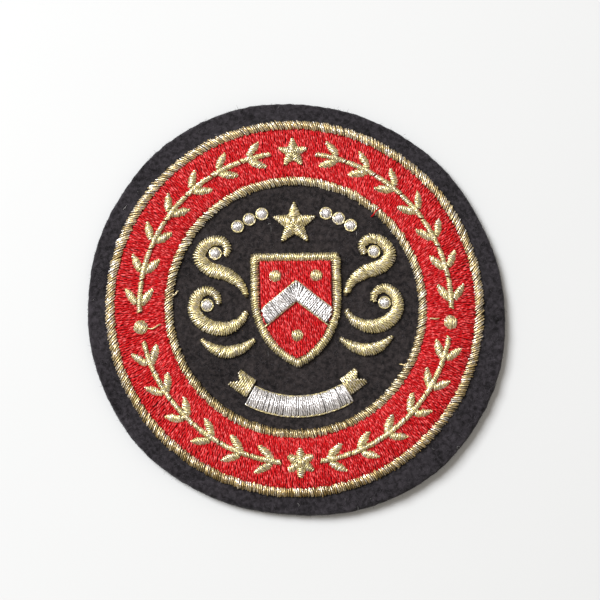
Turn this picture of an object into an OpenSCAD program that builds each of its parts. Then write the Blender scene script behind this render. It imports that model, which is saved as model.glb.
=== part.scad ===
// Round embroidered patch. A felt disc carries a wide ring of fill stitching
// between two raised satin rings, a leaf garland on the ring, and a crest on
// the bare felt in the middle. All lengths are in millimetres, +Z is up, and
// the origin is the middle of the flat underside.

/* [Felt] */
// Diameter of the felt disc, averaged all round
felt_d = 80; // [72:1:100]
// Thickness of the felt
felt_t = 2; // [1:0.1:3]
// Radius of the soft upper and lower edges of the felt
felt_round = 0.6; // [0.2:0.05:0.9]
// How far the felt margin lifts off the table at the lower right
rim_lift = 0.8; // [0:0.1:2]
// Bare felt outside the outer satin ring
margin_w = 3.7; // [2.5:0.1:5]

/* [Rings] */
// Width of the outer satin ring
outer_ring_w = 1.6; // [1:0.1:2.4]
// Width of the inner satin ring
inner_ring_w = 1.45; // [1:0.05:2.4]
// Height of the satin rings above the felt
ring_h = 0.95; // [0.8:0.05:1.4]
// Width of the fill-stitched band
band_w = 9.45; // [8.6:0.05:11]
// Thickness of the fill stitching
fill_t = 0.65; // [0.4:0.05:0.9]

/* [Garland] */
// Length of one leaf
leaf_l = 4.4; // [3.4:0.1:5]
// Width of one leaf
leaf_w = 1.45; // [1:0.05:1.8]
// Height of a leaf above the stitching that it lies on
leaf_h = 0.6; // [0.4:0.05:0.9]
// Angle between a leaf and its stem
leaf_splay = 35; // [25:1:42]
// Width of the stem
stem_w = 0.8; // [0.5:0.05:1.1]
// Leaf pairs on each upper branch
upper_pairs = 7; // [4:1:7]
// Leaf pairs on each lower branch
lower_pairs = 6; // [4:1:6]
// Angle by which the two round studs sit below the middle
stud_drop = 7; // [0:1:10]
// Diameter of the two round studs
stud_d = 2.6; // [1.8:0.1:3.4]
// Diameter of the star at the top of the band
band_star_d = 6.6; // [5:0.1:7.4]

/* [Crest] */
// Bare felt between the crest and the inner satin ring
crest_clear = 1.2; // [0.8:0.1:2]
// Width of the shield
shield_w = 17.2; // [15:0.1:18.4]
// Height of the shield
shield_l = 22; // [19:0.1:23]
// Height of the shield's upper edge above the middle
shield_top = 10.2; // [9:0.1:11]
// Width of the shield's satin border
shield_border_w = 1.5; // [1.1:0.05:1.9]
// Width of each arm of the chevron
chevron_w = 2.8; // [2:0.1:3.4]
// Diameter of the round charges on the shield
charge_d = 2.2; // [1.6:0.1:2.6]
// Diameter of the crest star
crest_star_d = 9.2; // [7.5:0.1:10]
// Greatest width of a scroll
scroll_w = 2.5; // [1.8:0.1:2.8]
// Diameter of the pearls
pearl_d = 1.9; // [1.4:0.1:2.1]
// Width of the ribbon
ribbon_w = 3.6; // [2.6:0.1:4]
// Half the angle that the ribbon's middle spans
ribbon_half_angle = 29; // [22:1:31]
// Height of the crest's satin stitching
satin_h = 1; // [0.7:0.05:1.3]

/* [Hidden] */
$fn = 144;
// Gap between stitching and what it lies on
seat_gap = 0.05;
// Gap between neighbouring pieces of stitching
side_gap = 0.1;

felt_r = felt_d / 2;
outer_ring_ro = felt_r - margin_w;
outer_ring_ri = outer_ring_ro - outer_ring_w;
band_ro = outer_ring_ri - side_gap;
band_ri = band_ro - band_w;
inner_ring_ro = band_ri - side_gap;
inner_ring_ri = inner_ring_ro - inner_ring_w;
band_rm = (band_ro + band_ri) / 2;
crest_r = inner_ring_ri - crest_clear;

on_felt = felt_t + seat_gap;
on_fill = on_felt + fill_t + seat_gap;

// Outline of the hand-cut felt: a row for each wave round the edge
ORDER = 0;  // waves in one turn
SHARE = 1;  // height of the wave, as a share of the felt's radius
PHASE = 2;  // angle of its crest
OUTLINE = [
    [1, 0.0116, -24],
    [2, 0.012, 141],
    [3, 0.0074, 90],
    [4, 0.005, 39],
    [6, 0.0017, 53],
    [12, 0.0016, 11],
];
outline_steps = 96;
// Direction in which the margin lifts, and the angle each side that it takes
lift_at = -42;
lift_reach = 75;

// Scrolls of the right-hand side: a row for each point of the middle line
X = 0;  // share of the room between the shield and the crest's circle
Y = 1;  // share of the crest's radius
W = 2;  // share of the scroll's greatest width
UPPER_SCROLL = [
    [0.06, 0.08, 0.30],
    [0.15, 0.20, 0.62],
    [0.34, 0.285, 0.95],
    [0.58, 0.335, 1.00],
    [0.71, 0.43, 0.90],
    [0.62, 0.545, 0.78],
    [0.43, 0.58, 0.66],
    [0.315, 0.52, 0.54],
    [0.35, 0.445, 0.40],
];
LOWER_SCROLL = [
    [0.06, -0.03, 0.30],
    [0.17, -0.13, 0.62],
    [0.38, -0.185, 0.95],
    [0.62, -0.155, 1.00],
    [0.78, -0.055, 0.90],
    [0.775, 0.075, 0.78],
    [0.63, 0.145, 0.66],
    [0.485, 0.11, 0.54],
    [0.455, 0.03, 0.40],
];
PLUME = [
    [-0.04, -0.275, 0.20],
    [0.13, -0.35, 0.66],
    [0.36, -0.385, 0.88],
    [0.56, -0.345, 0.62],
    [0.70, -0.27, 0.20],
];
// Eyes of the two scrolls, in the same shares, where a pearl sits
UPPER_EYE = [0.485, 0.465];
LOWER_EYE = [0.61, 0.02];
// Angles of the pearls that lead from the upper scrolls to the star
PEARL_ARCH = [55, 63, 71];
// Radius of that arch, as a share of the crest's radius
pearl_arch_r = 0.85 * crest_r;

curve_steps = 4;
dome_steps = 6;

shield_half = shield_w / 2;
side_room = crest_r - shield_half;
// Height at which the shield's straight sides turn into arcs
shield_turn = shield_top - 0.4 * shield_l;

// Petals of the rosette at the foot of the band, and how far from its middle
// they start
petal_l = 0.6 * leaf_l;
petal_in = 0.2 * leaf_w;

// Bare felt outside the ribbon's middle, inside the crest's circle
ribbon_clear = 1.4;
ribbon_ro = crest_r - ribbon_clear;
ribbon_ri = ribbon_ro - ribbon_w;
ribbon_rm = (ribbon_ro + ribbon_ri) / 2;
// Angle that a tail spans, how far it sits inwards of the ribbon, and the
// share of it that its notch takes
tail_angle = 13;
tail_shift = 1.2;
tail_notch = 0.35;

PAIRS = [upper_pairs, lower_pairs];
function padded(i) = i < 10 ? str("0", i) : str(i);
SPRIG_NODES = [for (i = [1 : 2 * (upper_pairs + lower_pairs)]) str("sprig_", padded(i))];
PEARL_NODES = [for (i = [1 : 10]) str("pearl_", padded(i))];

black = "#302d32";
red = "#d02530";
gold = "#c9b878";
silver = "#cfcbcd";

// A point at a radius and an angle
function polar(r, a) = [r * cos(a), r * sin(a)];

// The angle that a length covers on the band's middle circle
function on_band(l) = l / band_rm * 180 / PI;

// Lists of rings joined into one solid, each ring anticlockwise about the way
// the list runs; closed joins the last ring to the first
module loft(rings, closed = false) {
    n = len(rings[0]);
    m = len(rings);
    joins = closed ? m : m - 1;
    sides = [
        for (j = [0 : joins - 1], i = [0 : n - 1])
            let (
                a = j * n + i,
                b = j * n + (i + 1) % n,
                c = (j + 1) % m * n + (i + 1) % n,
                d = (j + 1) % m * n + i
            )
            each [[a, d, c], [a, c, b]]
    ];
    ends = closed ? [] : [
        [for (i = [0 : n - 1]) i],
        [for (i = [n - 1 : -1 : 0]) (m - 1) * n + i],
    ];
    polyhedron(points = [for (ring = rings) each ring], faces = concat(sides, ends));
}

// Section of a satin column: half its width, its height and that of its foot
function satin_section(half, h) = let (foot = 0.25 * h) [
    [-half, 0],
    [half, 0],
    for (k = [0 : dome_steps])
        let (a = 180 * k / dome_steps)
        [half * cos(a), foot + (h - foot) * sin(a)],
];

// The same section between two radii, for a ring
module satin_profile(ri, ro, h) {
    foot = 0.25 * h;
    half = (ro - ri) / 2;
    rise = h - foot;
    arc_r = (half * half + rise * rise) / (2 * rise);
    intersection() {
        translate([(ri + ro) / 2, h - arc_r]) circle(arc_r);
        translate([ri, 0]) square([ro - ri, h]);
    }
}

// A round satin dot, domed
module satin_dot(d, h) {
    arc_r = (d * d / 4 + h * h) / (2 * h);
    intersection() {
        translate([0, 0, h - arc_r]) sphere(arc_r);
        cylinder(r = d, h = h);
    }
}

// A satin leaf from the origin along +X, with a ridge along its middle
module satin_leaf(l, w, h) {
    half_l = l / 2;
    half_w = w / 2;
    base_r = (half_l * half_l + half_w * half_w) / w;
    apart = base_r - half_w;
    sunk = (half_l * half_l - h * h) / (2 * h);
    ball_r = sqrt(base_r * base_r + sunk * sunk);
    intersection() {
        translate([half_l, apart, -sunk]) sphere(ball_r);
        translate([half_l, -apart, -sunk]) sphere(ball_r);
        translate([0, -w, 0]) cube([l, 2 * w, 2 * h]);
    }
}

// A five-pointed satin star with a ridge along each arm
module satin_star(d, h) {
    foot = 0.35 * h;
    inner = 0.42 * d / 2;
    corners = 10;
    rim = [for (k = [0 : corners - 1]) polar(k % 2 == 0 ? d / 2 : inner, 90 + 36 * k)];
    peak = 2 * corners;
    base = peak + 1;
    polyhedron(
        points = concat(
            [for (p = rim) [p[0], p[1], 0]],
            [for (p = rim) [p[0], p[1], foot]],
            [[0, 0, h], [0, 0, 0]]
        ),
        faces = [
            for (k = [0 : corners - 1])
                let (next = (k + 1) % corners)
                each [
                    [k, next, base],
                    [k, corners + k, corners + next],
                    [k, corners + next, next],
                    [corners + k, peak, corners + next],
                ]
        ]
    );
}

// Points of a smooth line through a table's rows
function smooth(rows) = [
    for (i = [0 : len(rows) - 2], k = [0 : curve_steps - 1])
        curve_point(rows, i, k / curve_steps),
    rows[len(rows) - 1],
];
function curve_point(rows, i, t) =
    let (
        last = len(rows) - 1,
        a = rows[max(i - 1, 0)],
        b = rows[i],
        c = rows[i + 1],
        d = rows[min(i + 2, last)]
    )
    0.5 * (2 * b + (c - a) * t + (2 * a - 5 * b + 4 * c - d) * pow(t, 2)
        + (3 * b - a - 3 * c + d) * pow(t, 3));

// A satin column along a line of rows of x, y and width
module satin_stroke(rows, h) {
    line = smooth(rows);
    last = len(line) - 1;
    full = max([for (row = rows) row[W]]);
    loft([
        for (i = [0 : last])
            let (
                p = line[i],
                step = line[min(i + 1, last)] - line[max(i - 1, 0)],
                run = norm([step[X], step[Y]]),
                side = [-step[Y], step[X]] / run,
                high = h * (0.5 + 0.5 * p[W] / full)
            )
            [for (q = satin_section(p[W] / 2, high))
                [p[X] + side[X] * q[0], p[Y] + side[Y] * q[0], q[1]]]
    ]);
}

// A table of crest shares as rows of x, y and width in millimetres
function crest_x(share) = shield_half + share * side_room;
function crest_rows(table) = [
    for (row = table) [crest_x(row[X]), row[Y] * crest_r, row[W] * scroll_w]
];

// Both sides of the crest: the right-hand piece, or its mirror image
module on_side(left) {
    if (left) mirror([1, 0, 0]) children();
    else children();
}

function outline_r(a) =
    felt_r * (1 + [for (row = OUTLINE) row[SHARE] * cos(row[ORDER] * (a - row[PHASE]))]
        * [for (row = OUTLINE) 1]);

// How far the felt lifts at a radius and an angle
function lift(r, a) =
    let (
        off = abs((a - lift_at + 540) % 360 - 180),
        share = max(0, (r - outer_ring_ro) / (outline_r(a) - outer_ring_ro))
    )
    off < lift_reach ? rim_lift * pow(cos(90 * off / lift_reach), 2) * pow(share, 2) : 0;

function felt_ring(in, z) = [
    for (k = [0 : outline_steps - 1])
        let (a = 360 * k / outline_steps, r = outline_r(a) - in)
        [r * cos(a), r * sin(a), z + lift(r, a)]
];
function flat_ring(r, z) = [
    for (k = [0 : outline_steps - 1]) concat(polar(r, 360 * k / outline_steps), z)
];

module felt() {
    color(black)
    loft([
        flat_ring(outer_ring_ro, 0),
        felt_ring(margin_w / 2, 0),
        felt_ring(felt_round, 0),
        felt_ring(felt_round * (1 - sin(45)), felt_round * (1 - sin(45))),
        felt_ring(0, felt_round),
        felt_ring(0, felt_t - felt_round),
        felt_ring(felt_round * (1 - sin(45)), felt_t - felt_round * (1 - sin(45))),
        felt_ring(felt_round, felt_t),
        felt_ring(margin_w / 2, felt_t),
        flat_ring(outer_ring_ro, felt_t),
    ]);
}

module band() {
    shoulder = 0.4 * fill_t;
    color(red)
    translate([0, 0, on_felt])
    rotate_extrude()
    polygon([
        [band_ri, 0],
        [band_ro, 0],
        [band_ro, fill_t - shoulder],
        [band_ro - shoulder, fill_t],
        [band_ri + shoulder, fill_t],
        [band_ri, fill_t - shoulder],
    ]);
}

module satin_ring(ri, ro) {
    color(gold)
    translate([0, 0, on_felt])
    rotate_extrude()
    satin_profile(ri, ro, ring_h);
}

module stud(a) {
    color(gold)
    translate(concat(polar(band_rm, a), on_fill))
    satin_dot(stud_d, leaf_h);
}

module band_star() {
    color(gold)
    translate([0, band_rm, on_fill])
    satin_star(band_star_d, leaf_h * 1.3);
}

module band_rosette() {
    petals = 6;
    color(gold)
    translate([0, -band_rm, on_fill]) {
        for (k = [0 : petals - 1])
            rotate([0, 0, 30 + 360 * k / petals])
            translate([petal_in, 0, 0])
            satin_leaf(petal_l, leaf_w, leaf_h);
        satin_dot(leaf_w, leaf_h * 1.2);
    }
}

// Bare stitching left beside a stud, the star and the rosette
stud_clear = 1.4;
star_clear = 0.9;
rosette_clear = 0.8;
// Angles that they take from a branch's arc
stud_room = on_band(stud_d / 2 + stud_clear);
star_room = on_band(band_star_d / 2 + star_clear);
rosette_room = on_band(petal_in + petal_l + rosette_clear);

// Branches of the garland, a row each
FROM = 0;  // angle at which the branch starts
TO = 1;  // angle at which it ends
COUNT = 2;  // leaf pairs on it
BRANCHES = [
    [180 + stud_drop - stud_room, 90 + star_room, upper_pairs],
    [-stud_drop + stud_room, 90 - star_room, upper_pairs],
    [270 - rosette_room, 180 + stud_drop + stud_room, lower_pairs],
    [270 + rosette_room, 360 - stud_drop - stud_room, lower_pairs],
];
// Every sprig, a row each
START = 0;  // angle at which it starts
SPAN = 1;  // angle that it covers, below zero where the branch runs clockwise
SPRIGS = [
    for (branch = BRANCHES, k = [0 : branch[COUNT] - 1])
        let (span = (branch[TO] - branch[FROM]) / branch[COUNT])
        [branch[FROM] + k * span, span]
];

// Gap between one sprig's stem and the next, and the share of a sprig's span
// at which its leaves fork
stem_gap = 0.15;
fork_share = 0.16;

module sprig(start, span) {
    way = sign(span);
    stem_end = span - way * on_band(stem_gap);
    fork = fork_share * span;
    color(gold)
    translate([0, 0, on_fill]) {
        rotate([0, 0, min(start, start + stem_end)])
        rotate_extrude(angle = abs(stem_end))
        satin_profile(band_rm - stem_w / 2, band_rm + stem_w / 2, 0.8 * leaf_h);
        for (side = [-1, 1])
            rotate([0, 0, start + fork])
            translate([band_rm, 0, 0])
            rotate([0, 0, way * 90 + side * leaf_splay])
            translate([stem_w / 3, 0, 0])
            satin_leaf(leaf_l, leaf_w, leaf_h);
    }
}

// Radius of the arcs of a shield, and how far their centres lie past the middle
shield_drop = shield_l - (shield_top - shield_turn);
shield_arc_r = (pow(shield_half, 2) + pow(shield_drop, 2)) / shield_w;
shield_past = shield_arc_r - shield_half;

// The shield's outline, drawn in by a distance
module shield_shape(in) {
    half = shield_half - in;
    intersection() {
        shield_arc(1, in);
        shield_arc(-1, in);
        translate([-half, shield_turn - shield_l]) square([2 * half, shield_l]);
    }
    translate([-half, shield_turn - seat_gap])
    square([2 * half, shield_top - in - shield_turn + seat_gap]);
}
module shield_arc(side, in) {
    translate([side * shield_past, shield_turn]) circle(shield_arc_r - in);
}

// The line of the shield's border as rows of x, y and its mitre, anticlockwise
function shield_line(in) =
    let (
        half = shield_half - in,
        top = shield_top - in,
        arc_r = shield_arc_r - in,
        reach = acos(shield_past / arc_r),
        steps = 10
    )
    concat(
        [[0, top, 0, 1], [-half, top, -1, 1], [-half, shield_turn, -1, 0]],
        [for (k = [1 : steps - 1]) let (a = 180 + reach * k / steps)
            [shield_past + arc_r * cos(a), shield_turn + arc_r * sin(a), cos(a), sin(a)]],
        [[0, shield_turn - arc_r * sin(reach), 0, -1 / sin(reach)]],
        [for (k = [steps - 1 : -1 : 1]) let (a = -reach * k / steps)
            [-shield_past + arc_r * cos(a), shield_turn + arc_r * sin(a), cos(a), sin(a)]],
        [[half, shield_turn, 1, 0], [half, top, 1, 1]]
    );

module shield_border() {
    color(gold)
    translate([0, 0, on_felt])
    loft([
        for (p = shield_line(shield_border_w / 2))
            [for (q = satin_section(shield_border_w / 2, satin_h * 1.15))
                [p[0] - p[2] * q[0], p[1] - p[3] * q[0], q[1]]]
    ], closed = true);
}

// How far the field lies inside the shield's outline
field_in = shield_border_w + side_gap;

module shield_field() {
    color(red)
    translate([0, 0, on_felt])
    linear_extrude(fill_t)
    shield_shape(field_in);
}

// Height of the chevron's point, its fall across one unit of width, and its
// upright thickness
chevron_top = 0.62 * shield_turn + 0.38 * shield_top;
chevron_fall = 0.8;
chevron_deep = chevron_w * sqrt(1 + chevron_fall * chevron_fall);

module chevron() {
    arm = chevron_top - chevron_fall * shield_half;
    color(silver)
    translate([0, 0, on_fill])
    linear_extrude(leaf_h)
    intersection() {
        shield_shape(field_in + side_gap);
        polygon([
            [0, chevron_top],
            [-shield_half, arm],
            [-shield_half, arm - chevron_deep],
            [0, chevron_top - chevron_deep],
            [shield_half, arm - chevron_deep],
            [shield_half, arm],
        ]);
    }
}

// A round charge on the field, at shares of the shield's half width and height
module charge(x, y) {
    color(gold)
    translate([x * shield_half, shield_top - y * shield_l, on_fill])
    satin_dot(charge_d, leaf_h);
}

module crest_star() {
    room = crest_r - shield_top;
    color(gold)
    translate([0, shield_top + 0.48 * room, on_felt])
    satin_star(crest_star_d, satin_h * 1.3);
}

module scroll(table, left) {
    color(gold)
    translate([0, 0, on_felt])
    on_side(left)
    satin_stroke(crest_rows(table), satin_h);
}

module ribbon() {
    color(silver)
    translate([0, 0, on_felt])
    rotate([0, 0, 270 - ribbon_half_angle])
    rotate_extrude(angle = 2 * ribbon_half_angle)
    satin_profile(ribbon_ri, ribbon_ro, satin_h);
}

module ribbon_tails() {
    gap = side_gap / ribbon_rm * 180 / PI;
    color(gold)
    translate([0, 0, on_felt])
    for (left = [false, true])
        on_side(left)
        rotate([0, 0, 270 + ribbon_half_angle + gap])
        difference() {
            rotate_extrude(angle = tail_angle)
            translate([-tail_shift, 0])
            satin_profile(ribbon_ri, ribbon_ro, 0.8 * satin_h);
            rotate([0, 0, tail_angle * (1 - tail_notch)])
            translate([ribbon_rm - tail_shift, 0, -satin_h])
            linear_extrude(3 * satin_h)
            polygon([
                [0, 0],
                [ribbon_w, ribbon_rm * sin(tail_angle)],
                [-ribbon_w, ribbon_rm * sin(tail_angle)],
            ]);
        }
}

// Middles of the pearls of the right-hand side
PEARLS = concat(
    [for (eye = [UPPER_EYE, LOWER_EYE]) [crest_x(eye[X]), eye[Y] * crest_r]],
    [for (a = PEARL_ARCH) polar(pearl_arch_r, a)]
);
module pearl(i) {
    side = len(PEARLS);
    color(silver)
    translate([0, 0, on_felt])
    on_side(i >= side)
    translate(PEARLS[i % side])
    satin_dot(pearl_d, 0.75 * satin_h);
}

felt();
band();
satin_ring(outer_ring_ri, outer_ring_ro);  // outer_ring
satin_ring(inner_ring_ri, inner_ring_ro);  // inner_ring
stud(180 + stud_drop);  // stud_left
stud(-stud_drop);  // stud_right
band_star();
band_rosette();
for (i = [0 : len(SPRIGS) - 1])
    sprig(SPRIGS[i][START], SPRIGS[i][SPAN]);
shield_border();
shield_field();
chevron();
charge(-0.46, 0.2);  // charge_left
charge(0.46, 0.2);  // charge_right
charge(0, 0.72);  // charge_base
crest_star();
scroll(UPPER_SCROLL, true);  // scroll_upper_left
scroll(UPPER_SCROLL, false);  // scroll_upper_right
scroll(LOWER_SCROLL, true);  // scroll_lower_left
scroll(LOWER_SCROLL, false);  // scroll_lower_right
scroll(PLUME, true);  // plume_left
scroll(PLUME, false);  // plume_right
ribbon();
ribbon_tails();
for (i = [0 : len(PEARL_NODES) - 1])
    pearl(i);
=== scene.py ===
"""Looks of a round embroidered felt patch that lies on a pale table.

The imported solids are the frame. Every solid of stitching is covered with threads that are laid over
it one by one, so each size and place of the embroidery is read from the frame. Lengths are in metres,
+Z is up, and the origin is the middle of the rings on the underside of the felt.
"""

import logging
import math
import zlib
from dataclasses import dataclass, replace
from enum import Enum
from functools import cache
from typing import Callable, Sequence

import bmesh
import bpy
import numpy as np
from mathutils import Matrix, Vector
from mathutils.bvhtree import BVHTree


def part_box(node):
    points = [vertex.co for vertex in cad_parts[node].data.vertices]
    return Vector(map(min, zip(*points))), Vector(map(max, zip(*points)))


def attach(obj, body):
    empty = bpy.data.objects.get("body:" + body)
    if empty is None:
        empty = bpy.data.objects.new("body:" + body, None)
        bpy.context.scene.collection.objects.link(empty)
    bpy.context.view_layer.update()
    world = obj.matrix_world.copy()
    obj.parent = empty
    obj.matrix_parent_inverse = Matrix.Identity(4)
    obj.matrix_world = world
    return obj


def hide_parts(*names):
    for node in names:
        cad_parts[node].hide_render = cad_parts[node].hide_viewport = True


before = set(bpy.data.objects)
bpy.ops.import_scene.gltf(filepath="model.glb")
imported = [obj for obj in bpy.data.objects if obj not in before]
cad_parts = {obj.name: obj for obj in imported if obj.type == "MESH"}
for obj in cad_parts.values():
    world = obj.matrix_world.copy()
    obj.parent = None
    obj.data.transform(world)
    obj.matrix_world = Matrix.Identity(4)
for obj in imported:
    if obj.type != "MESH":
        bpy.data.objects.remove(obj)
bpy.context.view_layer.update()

log = logging.getLogger("patch")

Array = np.ndarray
Colour = tuple[float, float, float]
MM = 0.001
SEED = 11
COIL = "coil"
TONE = "tone"
PAINTED_LIGHT = "painted_light"
DOWN = Vector((0, 0, -1))
UP = Vector((0, 0, 1))
FOOT = 270
SKIN = 0.01 * MM
TINY = 1e-9
OUTER_RING_WIDTH = 1.6 * MM


def draws(name: str) -> np.random.Generator:
    """A stream of random numbers that belongs to one piece, the same each run."""
    return np.random.default_rng([SEED, zlib.crc32(name.encode())])


def unit(vectors: Array) -> Array:
    """The vectors at length one, along their last axis."""
    return vectors / np.linalg.norm(vectors, axis=-1, keepdims=True)


def turned(vectors: Array, degrees: Array | float) -> Array:
    """Turns flat vectors anticlockwise.

    Args:
        vectors: The vectors, shape (..., 2).
        degrees: One angle for them all, or one each.

    Returns:
        The turned vectors.
    """
    a = np.radians(degrees)
    x, y = vectors[..., 0], vectors[..., 1]
    return np.stack([x * np.cos(a) - y * np.sin(a), x * np.sin(a) + y * np.cos(a)], axis=-1)


def polar(radius: Array | float, degrees: Array | float) -> Array:
    """Flat points at a radius and an angle from +X, anticlockwise."""
    a = np.radians(degrees)
    return np.stack([radius * np.cos(a), radius * np.sin(a)], axis=-1)


@dataclass
class Ripple:
    """A smooth random field: many plane waves of about one wavelength, with a spread of one."""

    name: str
    wavelength: float
    waves: int = 28
    spread: tuple[float, float] = (0.6, 1.6)

    def __call__(self, points: Array) -> Array:
        """The field's value at each point.

        Args:
            points: Places, shape (n, 3).

        Returns:
            One value a point, about -2 to 2.
        """
        rng = draws(self.name)
        ways = unit(rng.normal(size=(self.waves, 3)))
        rates = 2 * math.pi / (self.wavelength * rng.uniform(*self.spread, self.waves))
        phases = rng.uniform(0, 2 * math.pi, self.waves)
        value = np.zeros(len(points))
        for way, rate, phase in zip(ways, rates, phases):
            value += np.sin(points @ way * rate + phase)
        return value * math.sqrt(2 / self.waves)


@dataclass
class Bundle:
    """A joined mesh held as arrays: points, faces, and where each corner lies on its thread."""

    points: Array
    tones: Array
    corners: Array
    sizes: Array
    coils: Array
    finishes: Array
    # Painted light and shade, added to each point's tone; only the rings paint any.
    painted_light: Array | float = 0.0

    def __post_init__(self) -> None:
        """Gives every point its painted light and shade."""
        self.painted_light = np.broadcast_to(self.painted_light, len(self.points))

    @classmethod
    def joined(cls, parts: Sequence["Bundle"]) -> "Bundle":
        """One bundle of several.

        Args:
            parts: The bundles to join.

        Returns:
            Their points and faces in one set of arrays.
        """
        shifts = np.cumsum([0] + [len(part.points) for part in parts])
        return cls(
            np.concatenate([part.points for part in parts]),
            np.concatenate([part.tones for part in parts]),
            np.concatenate([part.corners + shift for part, shift in zip(parts, shifts)]),
            *(
                np.concatenate([getattr(part, label) for part in parts])
                for label in ("sizes", "coils", "finishes", "painted_light")
            ),
        )

    def mesh(self, name: str, materials: Sequence[bpy.types.Material]) -> bpy.types.Mesh:
        """The bundle as a smooth-shaded mesh.

        Args:
            name: The mesh's name.
            materials: The materials that the faces' finishes count through.

        Returns:
            The mesh, with its UV map, its tones and its painted light and shade.
        """
        made = bpy.data.meshes.new(name)
        made.vertices.add(len(self.points))
        made.vertices.foreach_set("co", self.points.astype(np.float32).ravel())
        made.loops.add(len(self.corners))
        made.loops.foreach_set("vertex_index", self.corners.astype(np.int32))
        made.polygons.add(len(self.sizes))
        starts = np.concatenate([[0], np.cumsum(self.sizes)[:-1]])
        made.polygons.foreach_set("loop_start", starts.astype(np.int32))
        made.polygons.foreach_set("material_index", self.finishes.astype(np.int32))
        made.polygons.foreach_set("use_smooth", np.ones(len(self.sizes), bool))
        uv = made.uv_layers.new(name=COIL)
        uv.data.foreach_set("uv", self.coils.astype(np.float32).ravel())
        for label, values in ((TONE, self.tones), (PAINTED_LIGHT, self.painted_light)):
            attribute = made.attributes.new(label, "FLOAT", "POINT")
            attribute.data.foreach_set("value", values.astype(np.float32))
        for material in materials:
            made.materials.append(material)
        made.validate()
        made.update()
        return made


class ThreadForm:
    """A closed straight tube of unit radius, which is laid along every path of a piece."""

    def __init__(self, sides: int, steps: int) -> None:
        """Makes the tube.

        Args:
            sides: Faces round the tube.
            steps: Faces along it.
        """
        tube = bmesh.new()
        bmesh.ops.create_cone(
            tube, cap_ends=True, segments=sides, radius1=1.0, radius2=1.0, depth=steps
        )
        for step in range(1, steps):
            bmesh.ops.bisect_plane(
                tube,
                geom=tube.verts[:] + tube.edges[:] + tube.faces[:],
                plane_co=(0, 0, step - steps / 2),
                plane_no=(0, 0, 1),
            )
        bmesh.ops.recalc_face_normals(tube, faces=tube.faces)
        tube.verts.index_update()
        spots = np.array([vert.co for vert in tube.verts])
        self.step = np.rint(spots[:, 2] + steps / 2).astype(int)
        self.round = spots[:, :2]
        self.corners = np.array([vert.index for face in tube.faces for vert in face.verts])
        self.sizes = np.array([len(face.verts) for face in tube.faces])
        turn = np.arctan2(spots[:, 1], spots[:, 0]) / (2 * math.pi) % 1.0
        self.turn = turn[self.corners]
        start = 0
        for size in self.sizes:
            part = self.turn[start : start + size]
            if size == 4 and np.ptp(part) > 0.5:
                part[part < 0.5] += 1.0
            start += size
        tube.free()

    def lay(
        self,
        paths: Array,
        widths: Array,
        flat: float,
        tones: Array,
        phases: Array,
        tip: float = 0.6,
    ) -> Bundle:
        """Lays the tube along each path.

        Args:
            paths: Middle lines, shape (n, steps + 1, 3).
            widths: Width of each thread, shape (n,).
            flat: A thread's height as a share of its width.
            tones: One value a thread, which its finish varies with.
            phases: Where each thread's pattern starts, in millimetres.
            tip: Width of the ends as a share of the whole width.

        Returns:
            The threads as one bundle.
        """
        count, spots = len(paths), len(self.step)
        along = np.gradient(paths, axis=1)
        plan = along[..., :2]
        chord = paths[:, -1, :2] - paths[:, 0, :2]
        size = np.linalg.norm(plan, axis=-1, keepdims=True)
        plan = np.where(size > TINY, plan / np.maximum(size, TINY), unit(chord)[:, None])
        side = np.stack([-plan[..., 1], plan[..., 0], np.zeros(plan.shape[:2])], axis=-1)
        top = np.cross(unit(along), side)
        taper = np.ones(paths.shape[1])
        taper[0] = taper[-1] = tip
        half = (widths[:, None] * taper / 2)[:, self.step, None]
        points = (
            paths[:, self.step]
            + half * self.round[:, :1] * side[:, self.step]
            + half * flat * self.round[:, 1:] * top[:, self.step]
        )
        run = np.linalg.norm(np.diff(paths, axis=1), axis=-1)
        run = np.concatenate([np.zeros((count, 1)), np.cumsum(run, axis=1)], axis=1) / MM
        coils = np.stack(
            [
                run[:, self.step[self.corners]] + phases[:, None],
                np.broadcast_to(self.turn, (count, len(self.turn))),
            ],
            axis=-1,
        )
        return Bundle(
            points.reshape(-1, 3),
            np.repeat(tones, spots),
            (self.corners + spots * np.arange(count)[:, None]).ravel(),
            np.tile(self.sizes, count),
            coils.reshape(-1, 2),
            np.zeros(count * len(self.sizes), int),
        )


def single(paths: Array, width: float, flat: float, rng: np.random.Generator) -> Bundle:
    """Lays single threads of one width.

    Args:
        paths: Their middle lines, shape (n, m, 3).
        width: Their width.
        flat: Their height as a share of it.
        rng: The piece's random numbers.

    Returns:
        The threads as one bundle.
    """
    sides, starts = 6, 9.0
    count, points = paths.shape[:2]
    tones, phases = rng.uniform(0, 1, count), rng.uniform(0, starts, count)
    return ThreadForm(sides, points - 1).lay(paths, np.full(count, width), flat, tones, phases)


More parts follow.
